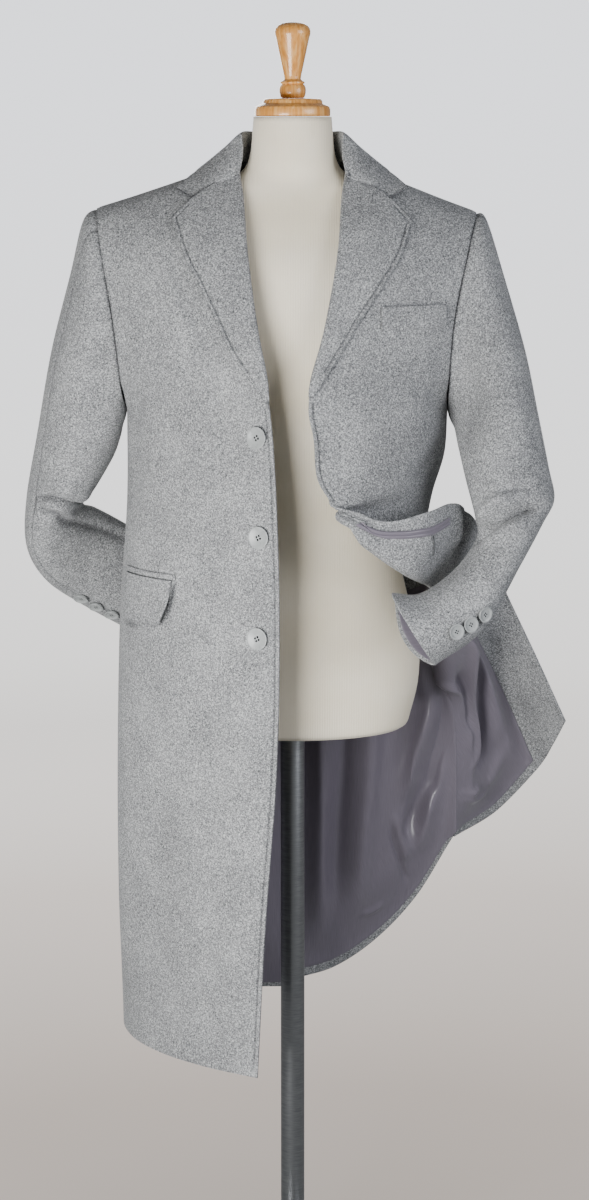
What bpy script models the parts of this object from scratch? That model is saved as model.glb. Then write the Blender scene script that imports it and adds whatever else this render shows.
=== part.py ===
"""Single-breasted wool topcoat, worn open with its left front swept back, on a limbless dress form.

Metres. +Z is up, -Y is the front and +X is the wearer's left. The origin is on the floor under the pole.
Each panel of the coat is a grid on a smooth surface through a short table of rows, from neck to hem.
"""
import math
from collections import namedtuple

import bmesh
import bpy
import numpy as np

# Cloth
WOOL = 0.0022
LINING = 0.0010
SEAM = 0.0003
RIGHT, LEFT = -1, 1

# Necks and armholes, for a size with 1.17 m round the chest
NECK_POINT = (0.072, 0.000, 1.540)
NAPE = (0.000, 0.074, 1.524)
Armhole = namedtuple("Armhole", "top front bottom back")
ARMHOLES = {
    RIGHT: Armhole((-0.2515, 0.005, 1.483), (-0.2295, -0.064, 1.345),
                   (-0.216, 0.008, 1.222), (-0.214, 0.095, 1.340)),
    LEFT: Armhole((0.2365, 0.005, 1.478), (0.2065, -0.064, 1.345),
                  (0.202, 0.008, 1.222), (0.202, 0.095, 1.340)),
}
ARMPIT = 4                    # the row that ends at the armhole's bottom
NAPE_ROW = 2                  # the back's row that starts at the nape
SIDE_CREASE_ROW = 12          # from here down the left side seam is a sharp crease

# A row of a plain panel runs from its free edge (or the back's centre) to the armhole or the side seam.
# Turns are the headings in plan at its two ends, in degrees towards the back. Drop lowers its middle.
Row = namedtuple("Row", "edge seam edge_turn seam_turn drop")
FRONT_TOP = (
    Row(NECK_POINT, 0, 0, 0, 0),
    Row((0.0605, -0.052, 1.495), 45, -12, 14, 0),
    Row((0.0530, -0.105, 1.425), 90, -8, 42, 0),
    Row((0.0420, -0.142, 1.335), 135, 12, 64, 0),
)
FRONT_RIGHT_SKIRT = (
    Row((-0.028, -0.165, 1.246), 180, 38, 90, 0),
    Row((-0.021, -0.178, 1.129), (-0.218, 0.018, 1.100), 30, 90, 0),
    Row((-0.017, -0.187, 0.960), (-0.229, 0.022, 0.950), 28, 90, 0),
    Row((-0.021, -0.190, 0.775), (-0.234, 0.028, 0.780), 28, 90, 0),
    Row((-0.035, -0.190, 0.580), (-0.235, 0.038, 0.580), 28, 90, 0),
    Row((-0.046, -0.187, 0.377), (-0.232, 0.050, 0.377), 28, 90, 0),
)
FRONT_LEFT_CHEST = (
    Row((0.023, -0.172, 1.253), 180, 8, 90, 0),
    Row((0.027, -0.176, 1.203), (0.199, 0.016, 1.165), 6, 88, 0),
    Row((0.034, -0.185, 1.150), (0.184, 0.026, 1.110), 4, 86, 0),
)
BACK_TOP = (
    Row(NECK_POINT, 0, 0, 0, 0),
    Row((0.050, 0.052, 1.532), -45, 18, -18, 0),
    Row(NAPE, -90, 24, -40, 0),
    Row((0.000, 0.118, 1.420), -135, 8, -64, 0),
    Row((0.000, 0.133, 1.280), 180, 0, -90, 0),
)
BACK_RIGHT_SKIRT = (
    Row((0.000, 0.128, 1.110), 5, 0, -90, 0),
    Row((0.000, 0.142, 0.950), 6, 0, -90, 0),
    Row((0.000, 0.157, 0.780), 7, 0, -90, 0),
    Row((0.000, 0.167, 0.580), 8, 0, -90, 0),
    Row((0.000, 0.175, 0.374), 9, 0, -90, 0),
)

# Below the waist the left front is turned over like a great lapel and drawn back past the forearm.
# Each row runs from the free edge, down the turned leaf to its fold, then back under it to the side seam.
# On the last three rows the middle point lies on the seam between the facing and the lining.
Swept = namedtuple("Swept", "edge leaf fold under seam")
FRONT_LEFT_SWEPT = (
    Swept((0.069, -0.190, 1.117), (0.067, -0.193, 1.110), (0.062, -0.190, 1.103),
          (0.148, -0.118, 1.066), (0.178, 0.040, 1.060)),
    Swept((0.117, -0.190, 1.103), (0.113, -0.195, 1.083), (0.104, -0.190, 1.063),
          (0.166, -0.090, 1.030), (0.182, 0.055, 1.010)),
    Swept((0.169, -0.166, 1.112), (0.165, -0.174, 1.070), (0.152, -0.168, 1.032),
          (0.180, -0.060, 1.000), (0.188, 0.070, 0.965)),
    Swept((0.205, -0.113, 1.115), (0.202, -0.116, 1.073), (0.190, -0.108, 1.035),
          (0.189, -0.018, 0.972), (0.195, 0.085, 0.925)),
    Swept((0.237, -0.030, 1.080), (0.228, -0.030, 1.032), (0.213, -0.022, 0.985),
          (0.199, 0.045, 0.925), (0.204, 0.100, 0.885)),
    Swept((0.262, 0.050, 1.025), (0.248, 0.056, 0.980), (0.233, 0.066, 0.935),
          (0.213, 0.100, 0.870), (0.213, 0.125, 0.830)),
    Swept((0.293, 0.115, 0.956), (0.277, 0.132, 0.915), (0.262, 0.148, 0.875),
          (0.233, 0.160, 0.802), (0.221, 0.150, 0.765)),
    Swept((0.336, 0.135, 0.866), (0.321, 0.172, 0.825), (0.305, 0.205, 0.785),
          (0.260, 0.220, 0.706), (0.225, 0.178, 0.680)),
    Swept((0.379, 0.150, 0.773), (0.366, 0.195, 0.728), (0.349, 0.235, 0.685),
          (0.292, 0.272, 0.613), (0.227, 0.200, 0.594)),
)
BACK_LEFT_SKIRT = (
    Row((0.000, 0.130, 1.200), 5, 0, -88, 0),
    Row((0.000, 0.128, 1.120), 6, 0, -86, 0),
    Row((0.000, 0.130, 1.045), 7, 0, -84, 0.004),
    Row((0.000, 0.134, 0.970), 8, 0, -78, 0.008),
    Row((0.000, 0.141, 0.895), 9, 0, -72, 0.012),
    Row((0.000, 0.148, 0.820), 10, 0, -66, 0.018),
    Row((0.000, 0.155, 0.740), 11, 4, -60, 0.025),
    Row((0.000, 0.161, 0.655), 12, 8, -56, 0.032),
    Row((0.000, 0.166, 0.570), 13, 12, -52, 0.040),
    Row((0.000, 0.171, 0.485), 14, 16, -50, 0.046),
    Row((0.000, 0.176, 0.392), 15, 20, -50, 0.052),
)

# Sleeves: each ring has its outer and inner point, and its half depth to the front and to the back.
Ring = namedtuple("Ring", "outer inner front back")
SLEEVE_RINGS = {
    RIGHT: (
        Ring((-0.2515, 0.005, 1.483), (-0.216, 0.008, 1.222), 0.070, 0.088),
        Ring((-0.270, 0.004, 1.466), (-0.218, 0.010, 1.212), 0.073, 0.086),
        Ring((-0.287, 0.006, 1.400), (-0.222, 0.014, 1.200), 0.075, 0.083),
        Ring((-0.314, 0.015, 1.300), (-0.226, 0.022, 1.184), 0.074, 0.078),
        Ring((-0.335, 0.030, 1.195), (-0.237, 0.038, 1.156), 0.070, 0.072),
        Ring((-0.353, 0.045, 1.100), (-0.264, 0.062, 1.112), 0.064, 0.066),
        Ring((-0.357, 0.070, 1.032), (-0.281, 0.085, 1.088), 0.060, 0.062),
        Ring((-0.336, 0.100, 0.982), (-0.268, 0.112, 1.078), 0.056, 0.058),
        Ring((-0.292, 0.140, 0.941), (-0.238, 0.150, 1.055), 0.052, 0.054),
        Ring((-0.212, 0.186, 0.886), (-0.172, 0.206, 1.006), 0.046, 0.048),
    ),
    LEFT: (
        Ring((0.2365, 0.005, 1.478), (0.202, 0.008, 1.222), 0.070, 0.088),
        Ring((0.250, 0.000, 1.467), (0.204, 0.006, 1.213), 0.072, 0.086),
        Ring((0.272, -0.010, 1.398), (0.207, -0.002, 1.206), 0.073, 0.082),
        Ring((0.299, -0.035, 1.303), (0.210, -0.022, 1.200), 0.070, 0.074),
        Ring((0.314, -0.065, 1.225), (0.213, -0.050, 1.182), 0.064, 0.064),
        Ring((0.326, -0.095, 1.160), (0.221, -0.084, 1.143), 0.056, 0.056),
        Ring((0.332, -0.115, 1.122), (0.232, -0.112, 1.095), 0.051, 0.049),
        Ring((0.318, -0.122, 1.093), (0.230, -0.122, 1.066), 0.049, 0.045),
        Ring((0.289, -0.138, 1.044), (0.203, -0.146, 1.032), 0.048, 0.045),
        Ring((0.240, -0.165, 0.964), (0.160, -0.172, 1.008), 0.047, 0.046),
        Ring((0.179, -0.185, 0.922), (0.124, -0.195, 1.013), 0.046, 0.046),
    ),
}
SIDES = 16                    # facets round a sleeve
ARMHOLE_START = 0.06          # how far past the armhole, in rings, the sleeve's cloth begins
SLEEVE_SEAMS = {RIGHT: (1.5, 9.5), LEFT: (0.5, 9.5)}
CUFF_LINING_RINGS = 0.35

# Collar, from the back's centre to its front end on one side
CollarRow = namedtuple("CollarRow", "seam roll fall edge")
COLLAR_HALF = (
    CollarRow((0.000, 0.0700, 1.527), (0.000, 0.066, 1.572), (0.000, 0.088, 1.550), (0.000, 0.106, 1.506)),
    CollarRow((0.046, 0.0500, 1.535), (0.044, 0.047, 1.578), (0.060, 0.065, 1.556), (0.074, 0.083, 1.512)),
    CollarRow((0.0695, -0.001, 1.543), (0.064, 0.000, 1.578), (0.086, 0.010, 1.560), (0.112, 0.016, 1.534)),
    CollarRow((0.0650, -0.026, 1.522), (0.0635, -0.024, 1.552), (0.093, -0.016, 1.541), (0.133, 0, 1.527)),
    CollarRow((0.0615, -0.047, 1.501), (0.0635, -0.054, 1.513), (0.106, -0.05, 1.506), (0.141, -0.02, 1.514)),
)

# Lapels, in rows and shares of the front's width
LAPEL_TOP = ((0.0, 0.99), (0.7, 0.74), (1.0, 0.90))
LAPEL_WIDTHS = {
    RIGHT: (0.47, 0.435, 0.33, 0.215, 0.110, 0.016),
    LEFT: (0.50, 0.45, 0.335, 0.205, 0.100, 0.016),
}
LAPEL_LIFT = 0.0035
ROLL_TRIM = 0.004             # share of the lapel's width left free at its roll line

# Patches on the fronts: x from and to, z from and to, as seen from the front
FLAP = (-0.153, -0.214, 1.014, 0.956)
FLAP_WALL = 0.003
JET = (-0.149, -0.214, 1.022, 1.0165)
WELT = (0.111, 0.194, 1.364, 1.334)
INNER_WELT = (1 / 14, 2 / 14, 8.0, 10.0)   # shares across and rows, on the turned leaf

# Buttons
BUTTON_DIAMETER = 0.0285
CUFF_BUTTON_DIAMETER = 0.0205
BUTTON_HEIGHT = 0.0042
BUTTON_RIM = 0.11             # width of the raised rim, as a share of the diameter
BUTTON_DISH = 0.0009          # depth of the face inside the rim
BUTTON_FOOT = 0.86            # width of the underside, as a share of the diameter
BUTTON_PLACES = ((-0.043, 1.204), (-0.041, 1.080), (-0.043, 0.952))
CUFF_BUTTONS = {              # facet and ring of each, on the sleeves
    RIGHT: ((1.5, 8.51), (1.5, 8.26), (1.5, 7.98)),
    LEFT: ((3.3, 9.23), (2.95, 8.97), (2.5, 8.74)),
}

# Dress form: rings of its padded torso (z, half width, half depth, middle y)
TORSO = (
    (0.800, 0.146, 0.098, 0.010),
    (0.815, 0.156, 0.106, 0.010),
    (0.900, 0.168, 0.114, 0.012),
    (1.060, 0.136, 0.096, 0.006),
    (1.200, 0.152, 0.108, 0.002),
    (1.310, 0.166, 0.112, 0.000),
    (1.400, 0.178, 0.098, 0.002),
    (1.452, 0.182, 0.076, 0.004),
    (1.4879, 0.160, 0.058, 0.006),
    (1.5091, 0.120, 0.050, 0.008),
    (1.524, 0.076, 0.048, 0.010),
    (1.545, 0.056, 0.050, 0.010),
    (1.598, 0.0500, 0.052, 0.008),
)
FORM_SIDES = 28
NECK_Y = 0.008
POLE_RADIUS = 0.016
POLE_TOP = TORSO[0][0] - SEAM
BASE_RADIUS = 0.190
BASE_HEIGHT = 0.014
BASE_EDGE = 0.006

# Turned pieces: radius and height from top to bottom
NECK_CAP = (
    (0, 1.6210), (0.0340, 1.6210), (0.0372, 1.6195), (0.0385, 1.6150),
    (0.0465, 1.6120), (0.0485, 1.6070), (0.0485, 1.5985), (0, 1.5985),
)
FINIAL = (
    (0, 1.7170), (0.0120, 1.7155), (0.0200, 1.7110), (0.0230, 1.7060), (0.0230, 1.7030),
    (0.0215, 1.6980), (0.0105, 1.6445), (0.0150, 1.6430), (0.0155, 1.6390),
    (0.0172, 1.6340), (0.0172, 1.6280), (0.0150, 1.6213), (0, 1.6213),
)
POLE = ((0, POLE_TOP), (POLE_RADIUS, POLE_TOP), (POLE_RADIUS, BASE_HEIGHT + SEAM), (0, BASE_HEIGHT + SEAM))
BASE = (
    (0, BASE_HEIGHT), (BASE_RADIUS - BASE_EDGE, BASE_HEIGHT), (BASE_RADIUS, BASE_HEIGHT - BASE_EDGE),
    (BASE_RADIUS, 0), (0, 0),
)

COLOURS = {
    "wool": ((0.36, 0.37, 0.38), 0.95, 0.0),
    "satin": ((0.16, 0.14, 0.17), 0.40, 0.0),
    "button": ((0.37, 0.38, 0.38), 0.45, 0.0),
    "jersey": ((0.80, 0.77, 0.70), 0.85, 0.0),
    "wood": ((0.58, 0.31, 0.11), 0.30, 0.0),
    "steel": ((0.45, 0.45, 0.46), 0.30, 1.0),
}

for old in list(bpy.data.objects):
    bpy.data.objects.remove(old)
coat = bpy.data.collections.new("topcoat_on_dress_form")
bpy.context.scene.collection.children.link(coat)


def add_object(name, mesh_builder, finish):
    """Make a named object from a bmesh, with its own Principled material."""
    mesh = bpy.data.meshes.new(name)
    mesh_builder.to_mesh(mesh)
    mesh_builder.free()
    mesh.shade_smooth()
    colour, roughness, metallic = COLOURS[finish]
    material = bpy.data.materials.new(name + "_" + finish)
    material.use_nodes = True
    shader = material.node_tree.nodes["Principled BSDF"]
    shader.inputs["Base Color"].default_value = (*colour, 1.0)
    shader.inputs["Roughness"].default_value = roughness
    shader.inputs["Metallic"].default_value = metallic
    mesh.materials.append(material)
    piece = bpy.data.objects.new(name, mesh)
    coat.objects.link(piece)
    return piece


def spline(points, t, before=None, after=None):
    """The point at t on a smooth curve through points that lie at t = 0, 1, 2 and so on."""
    last = len(points) - 1
    i = min(max(int(math.floor(t)), 0), last - 1)
    f = t - i
    here, there = points[i], points[i + 1]
    behind = points[i - 1] if i > 0 else 2 * here - there if before is None else before
    ahead = points[i + 2] if i + 2 <= last else 2 * there - here if after is None else after
    slope = there - behind
    bend = 2 * behind - 5 * here + 4 * there - ahead
    twist = 3 * (here - there) + ahead - behind
    return here + 0.5 * f * (slope + f * (bend + f * twist))


def table_value(table, t):
    """The value at t on straight lines through pairs of place and value."""
    return float(np.interp(t, [row[0] for row in table], [row[1] for row in table]))


def unit(vector):
    return vector / np.linalg.norm(vector)


def armhole_point(side, degrees):
    """A point of the armhole, from its top (0) over its front (90) to its bottom (180)."""
    hole = ARMHOLES[side]
    top, front, bottom, back = (np.array(point) for point in hole)
    middle = (top + bottom) / 2
    angle = math.radians(degrees)
    deepen = ((front + back) / 2 - middle) * (1 - math.cos(2 * angle)) / 2
    return middle + (top - middle) * math.cos(angle) + (front - back) / 2 * math.sin(angle) + deepen


def heading(degrees, side):
    """Direction in plan at an angle from straight out to that side, towards the back."""
    return np.array((side * math.cos(math.radians(degrees)), math.sin(math.radians(degrees)), 0))


def row_points(row, side, seam):
    """Five points along a plain row: a curve that leaves and arrives at the row's turns."""
    start = np.array(row.edge) * ((side, 1, 1) if row.edge[0] > 0 and side == RIGHT else (1, 1, 1))
    reach = 0.36 * math.hypot(*(seam - start)[:2])
    rise = (seam - start)[2] / 3
    leave, arrive = heading(row.edge_turn, side), heading(row.seam_turn, side)
    first = start + leave * reach + (0, 0, rise)
    second = seam - arrive * reach - (0, 0, rise)
    points = []
    for share in (0, 0.25, 0.5, 0.75, 1):
        rest = 1 - share
        point = rest ** 3 * start + 3 * rest ** 2 * share * first
        point = point + 3 * rest * share ** 2 * second + share ** 3 * seam
        points.append(point - (0, 0, 4 * row.drop * share * rest))
    return points


class Panel:
    """A panel of the coat: u runs from its free edge (0) to the side (1), v counts its rows."""

    def __init__(self, net, outward, corners):
        self.columns = [np.array(column) for column in zip(*net)]
        self.outward = outward
        self.corners = corners
        self.lead = [None] * 5
        self.beside = None
        self.creased_from = 99

    def column_point(self, i, v):
        """A point down one column, which turns a corner where its line does."""
        column = self.columns[i]
        corner = self.corners.get(i, len(column))
        if v <= corner:
            return spline(column[:corner + 1], v, self.lead[i])
        return spline(column[corner:], v - corner)

    def point(self, u, v):
        row = [self.column_point(i, v) for i in range(5)]
        smooth = min(max(v - ARMPIT + 1, 0), 1) * min(max(self.creased_from - v, 0), 1)
        past = 2 * row[4] - row[3]
        if smooth > 0:
            past = past + smooth * (self.beside.column_point(3, v) - past)
        return spline(row, 4 * u, None, past)

    def normal(self, u, v):
        step = 0.01
        across = self.point(u + step, v) - self.point(u - step, v)
        down = self.point(u, v + step) - self.point(u, v - step)
        return unit(np.cross(across, down)) * self.outward

    def lifted(self, u, v, distance):
        return self.point(u, v) + self.normal(u, v) * distance

    def locate(self, x, z, u, v):
        """Shares (u, v) of the place that lies at x and z seen from the front, from a first guess."""
        step = 0.001
        for _ in range(12):
            here = self.point(u, v)[[0, 2]]
            by_u = (self.point(u + step, v)[[0, 2]] - here) / step
            by_v = (self.point(u, v + step)[[0, 2]] - here) / step
            move = np.linalg.solve(np.column_stack((by_u, by_v)), np.array((x, z)) - here)
            u, v = u + move[0], v + move[1]
        return u, v


def plain_net(rows, side, seams=None):
    """Five columns of points. A row's seam is a point, an armhole angle or a row of another panel."""
    net = []
    for row in rows:
        if isinstance(row.seam, tuple):
            seam = np.array(row.seam)
        elif seams is not None and 0 < row.seam < 45:
            seam = seams[row.seam]
        else:
            seam = armhole_point(side, row.seam)
        net.append(row_points(row, side, seam))
    return net


front_right_net = plain_net(FRONT_TOP + FRONT_RIGHT_SKIRT, RIGHT)
front_left_net = plain_net(FRONT_TOP + FRONT_LEFT_CHEST, LEFT) + [np.array(row) for row in FRONT_LEFT_SWEPT]
front_corners, back_corners = {4: ARMPIT}, {0: NAPE_ROW, 4: ARMPIT}
front = {RIGHT: Panel(front_right_net, 1, front_corners), LEFT: Panel(front_left_net, -1, front_corners)}
back_right_net = plain_net(BACK_TOP + BACK_RIGHT_SKIRT, RIGHT, front[RIGHT].columns[4])
back_left_net = plain_net(BACK_TOP + BACK_LEFT_SKIRT, LEFT, front[LEFT].columns[4])
back = {RIGHT: Panel(back_right_net, -1, back_corners), LEFT: Panel(back_left_net, 1, back_corners)}
for side in (RIGHT, LEFT):
    for panel, beside in ((front[side], back[side]), (back[side], front[side])):
        panel.lead = [column[1] for column in beside.columns]
        panel.beside = beside
front[LEFT].creased_from = back[LEFT].creased_from = SIDE_CREASE_ROW


def steps(first, last, count):
    return [first + (last - first) * i / count for i in range(count + 1)]


def cloth(name, finish, surface, across, down, wall, flip, depth=0.0):
    """A wall of cloth: a grid on surface(u, v) at the given lines, thickened inwards from a depth."""
    grid = bmesh.new()
    bmesh.ops.create_grid(grid, x_segments=len(across) - 1, y_segments=len(down) - 1, size=1)
    for vert in grid.verts:
        i = round((vert.co.x + 1) / 2 * (len(across) - 1))
        j = round((vert.co.y + 1) / 2 * (len(down) - 1))
        vert.co = surface(across[i], down[j])
    if flip:
        bmesh.ops.reverse_faces(grid, faces=grid.faces)
    piece = add_object(name, grid, finish)
    thicken = piece.modifiers.new("Wall", "SOLIDIFY")
    thicken.thickness = wall
    thicken.offset = -1 - 2 * depth / wall


# Fronts and backs: grid lines across, and down from the shoulder seam to the hem
SIDE_TRIM = 0.0020            # share of the width left free at a side seam
NEAR_SIDE = 0.965             # a last line close to the side seam, so that two panels meet nearly flat
TOP_TRIM = 0.03               # rows left free at the shoulder seam
CENTRE_TRIM = 0.0007
upper_rows = [TOP_TRIM] + steps(0.5, ARMPIT, 7)
right_rows = upper_rows + steps(ARMPIT + 0.5, 9, 9)
front_left_rows = upper_rows + steps(ARMPIT + 0.5, 10, 11) + steps(11, 15, 4)
back_left_rows = upper_rows + steps(ARMPIT + 1, 15, 10)
front_across = steps(0, NEAR_SIDE, 8) + [1 - SIDE_TRIM]
back_across = [CENTRE_TRIM] + front_across[1:]
front_left_across = steps(0, 0.5, 7) + steps(0.5, NEAR_SIDE, 6)[1:] + [1 - SIDE_TRIM]
cloth("front_right", "wool", front[RIGHT].point, front_across, right_rows, WOOL, False)
cloth("front_left", "wool", front[LEFT].point, front_left_across, front_left_rows, WOOL, True)
cloth("back_right", "wool", back[RIGHT].point, back_across, right_rows, WOOL, True)
cloth("back_left", "wool", back[LEFT].point, back_across, back_left_rows, WOOL, False)


class Sleeve:
    """A sleeve: t counts its rings from the armhole, k its facets from the outer line over the front."""

    def __init__(self, side):
        rings = SLEEVE_RINGS[side]
        self.side = side
        self.outer = np.array([ring.outer for ring in rings])
        self.inner = np.array([ring.inner for ring in rings])
        self.front = np.array([ring.front for ring in rings])
        self.back = np.array([ring.back for ring in rings])
        self.last = len(rings) - 1

    def ring_point(self, t, k):
        outer, inner = spline(self.outer, t), spline(self.inner, t)
        half = (outer - inner) / 2
        forward = np.array((0.0, -1.0, 0.0))
        forward = unit(forward - unit(half) * np.dot(forward, unit(half)))
        angle = 2 * math.pi * k / SIDES
        depth = spline(self.front if math.sin(angle) > 0 else self.back, t)
        return (outer + inner) / 2 + half * math.cos(angle) + forward * depth * math.sin(angle)

    def corner(self, t, k):
        """A corner of the ring: the armhole's own points at the top, the table's rings below."""
        fade = max(0.0, 1 - t / 1.5) ** 2
        point = self.ring_point(t, k)
        if fade > 0:
            panel = front if k <= SIDES / 2 else back
            row = 2 * ARMPIT * min(k, SIDES - k) / SIDES
            hole = panel[self.side].point(1, row)
            point = point + fade * (hole - self.ring_point(0, k))
        return point

    def point(self, k, t):
        low = math.floor(k)
        share = k - low
        return (1 - share) * self.corner(t, low % SIDES) + share * self.corner(t, (low + 1) % SIDES)

    def lifted(self, k, t, distance):
        across = self.point(k + 0.05, t) - self.point(k - 0.05, t)
        down = self.point(k, t + 0.02) - self.point(k, t - 0.02)
        return self.point(k, t) + unit(np.cross(across, down)) * self.side * distance


sleeves = {RIGHT: Sleeve(RIGHT), LEFT: Sleeve(LEFT)}
SEAM_ANGLE = 0.015            # half a seam, in facets round the sleeve
for side, word in ((RIGHT, "right"), (LEFT, "left")):
    sleeve = sleeves[side]
    hind, fore = SLEEVE_SEAMS[side]
    rings = [ARMHOLE_START] + steps(0.5, sleeve.last, 2 * sleeve.last - 1)
    top = [hind + SEAM_ANGLE] + list(range(math.ceil(hind), math.floor(fore) + 1)) + [fore - SEAM_ANGLE]
    under = [fore + SEAM_ANGLE] + list(range(math.ceil(fore), math.floor(hind + SIDES) + 1))
    under.append(hind + SIDES - SEAM_ANGLE)
    cloth("sleeve_%s_top" % word, "wool", sleeve.point, top, rings, WOOL, side == RIGHT)
    cloth("sleeve_%s_under" % word, "wool", sleeve.point, under, rings, WOOL, side == RIGHT)


def cuff_lining():
    """A short tube of lining just inside the left cuff, closed all round."""
    sleeve = sleeves[LEFT]
    tube = bmesh.new()
    bmesh.ops.create_cone(tube, segments=SIDES, radius1=1, radius2=1, depth=2)
    for vert in tube.verts:
        k = math.degrees(math.atan2(vert.co.y, vert.co.x)) / (360 / SIDES) % SIDES
        t = sleeve.last - 0.06 - (CUFF_LINING_RINGS if vert.co.z > 0 else 0)
        vert.co = sleeve.lifted(round(k), t, -WOOL - 3 * SEAM)
    bmesh.ops.recalc_face_normals(tube, faces=tube.faces)
    piece = add_object("cuff_lining_left", tube, "satin")
    thicken = piece.modifiers.new("Wall", "SOLIDIFY")
    thicken.thickness = LINING
    thicken.offset = -1


cuff_lining()


# Collar: one strip with its stand, its roll and its fall
def collar_rows():
    half = [np.array(row) for row in COLLAR_HALF]
    mirrored = [row * (-1, 1, 1) for row in half[:0:-1]]
    return np.array(mirrored + half)


collar_net = collar_rows()
COLLAR_LAST = len(collar_net) - 1


def collar_point(s, a):
    return spline([spline(collar_net[:, i], s) for i in range(4)], a)


cloth("collar", "wool", collar_point, steps(0, COLLAR_LAST, 20), steps(0, 3, 6), WOOL, False)


# Lapels: the turned tops of the fronts, lifted off the chest from the roll line to the edge
def lapel_surface(side):
    panel = front[side]
    widths = np.array(LAPEL_WIDTHS[side])

    def surface(a, b):
        width = spline(widths, b * (len(widths) - 1))
        row = (1 - b) * table_value(LAPEL_TOP, a) + b * (ARMPIT - 0.02)
        lift = 2 * SEAM + LAPEL_LIFT * math.sin(math.pi * min(1, 0.04 + 0.78 * a)) * (1 - 0.6 * b)
        return panel.lifted(a * width, row, lift + WOOL)

    return surface


for side, word in ((RIGHT, "right"), (LEFT, "left")):
    lapel_across = [ROLL_TRIM] + steps(0.2, 1, 6)
    cloth("lapel_%s" % word, "wool", lapel_surface(side), lapel_across, steps(0, 1, 8), WOOL,
          front[side].outward < 0)


# Facing and lining: the points of their panels on the same grid lines, moved in
INSIDE = WOOL + 2 * SEAM      # depth of the lining's face under the wool's face
HEM_TURN = 0.25               # rows of wool turned up inside the hem
LINING_TRIM = 0.010           # share of the width left free beside the lining's seams
facing_across = [u for u in front_left_across if u <= 0.5]
facing_rows = [v for v in front_left_rows if v >= 6]
lining_across = [0.5 + LINING_TRIM] + [u for u in front_left_across if 0.5 < u < 0.99]
back_lining_across = [LINING_TRIM] + back_across[1:-1] + [1 - LINING_TRIM]
cloth("facing_left", "wool", front[LEFT].point, facing_across, facing_rows, WOOL, True, INSIDE)
cloth("lining_front_left", "satin", front[LEFT].point, lining_across,
      steps(12, 14, 2) + [15 - HEM_TURN], LINING, True, INSIDE + 4 * SEAM)
cloth("lining_back_left", "satin", back[LEFT].point, back_lining_across,
      steps(9, 14, 5) + [15 - HEM_TURN], LINING, False, INSIDE)
cloth("lining_back_right", "satin", back[RIGHT].point, back_lining_across,
      steps(6, 8.5, 5) + [9 - HEM_TURN / 2], LINING, True, INSIDE)


# Pocket flap, jet and welts
def patch(name, panel, place, guess, across, down, gap, wall):
    """A flat piece on the outside of a front, between two x and two z places."""
    x_in, x_out, z_top, z_low = place

    def surface(a, b):
        u, v = panel.locate(x_in + (x_out - x_in) * a, z_top + (z_low - z_top) * b, *guess)
        return panel.lifted(u, v, gap + wall)

    cloth(name, "wool", surface, steps(0, 1, across), steps(0, 1, down), wall, panel.outward < 0)


patch("pocket_flap_right", front[RIGHT], FLAP, (0.75, 5.7), 6, 3, 3 * SEAM, FLAP_WALL)
patch("pocket_jet_right", front[RIGHT], JET, (0.75, 5.6), 6, 1, 3 * SEAM, WOOL)
patch("breast_welt", front[LEFT], WELT, (0.55, 2.4), 6, 2, 3 * SEAM, WOOL)
u_in, u_out, row_in, row_out = INNER_WELT
cloth("inner_pocket_welt", "satin", front[LEFT].point, [u_in, u_out], steps(row_in, row_out, 4),
      LINING, True, INSIDE + WOOL + 2 * SEAM)


# Buttons: turned discs with a raised rim, and a shank that reaches the cloth
def button(name, diameter, middle, outward):
    disc = bmesh.new()
    bmesh.ops.create_cone(disc, cap_ends=True, segments=20, radius1=diameter / 2 * BUTTON_FOOT,
                          radius2=diameter / 2, depth=BUTTON_HEIGHT)
    top = [face for face in disc.faces if face.normal.z > 0.9]
    bmesh.ops.inset_region(disc, faces=top, thickness=diameter * BUTTON_RIM)
    bmesh.ops.translate(disc, verts=list({v for face in top for v in face.verts}), vec=(0, 0, -BUTTON_DISH))
    piece = add_object(name, disc, "button")
    piece.rotation_mode = "QUATERNION"
    axis = np.array(outward)
    from_z = np.cross((0, 0, 1), axis)
    piece.rotation_quaternion = (1 + axis[2], *from_z)
    piece.rotation_quaternion.normalize()
    piece.location = middle + axis * BUTTON_HEIGHT / 2


for number, (x, z) in enumerate(BUTTON_PLACES, 1):
    u, v = front[RIGHT].locate(x, z, 0.12, 5)
    foot = front[RIGHT].lifted(u, v, 3 * SEAM)
    button("button_front_%d" % number, BUTTON_DIAMETER, foot, front[RIGHT].normal(u, v))
for side, word in ((RIGHT, "right"), (LEFT, "left")):
    for number, (k, t) in enumerate(CUFF_BUTTONS[side], 1):
        foot = sleeves[side].lifted(k, t, SEAM)
        outward = unit(sleeves[side].lifted(k, t, 0.01) - sleeves[side].point(k, t))
        button("cuff_button_%s_%d" % (word, number), CUFF_BUTTON_DIAMETER, foot, outward)


# Dress form
def torso():
    rings = np.array(TORSO)
    ball = bmesh.new()
    bmesh.ops.create_uvsphere(ball, u_segments=FORM_SIDES, v_segments=len(rings) + 1, radius=1)
    for vert in ball.verts:
        level = round((1 - math.acos(max(-1, min(1, vert.co.z))) / math.pi) * (len(rings) + 1)) - 1
        z, width, depth, y = rings[min(max(level, 0), len(rings) - 1)]
        if level < 0 or level >= len(rings):
            vert.co = (0, y, z)
        else:
            angle = math.atan2(vert.co.y, vert.co.x)
            vert.co = (width * math.cos(angle), y + depth * math.sin(angle), z)
    add_object("form_torso", ball, "jersey")


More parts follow.
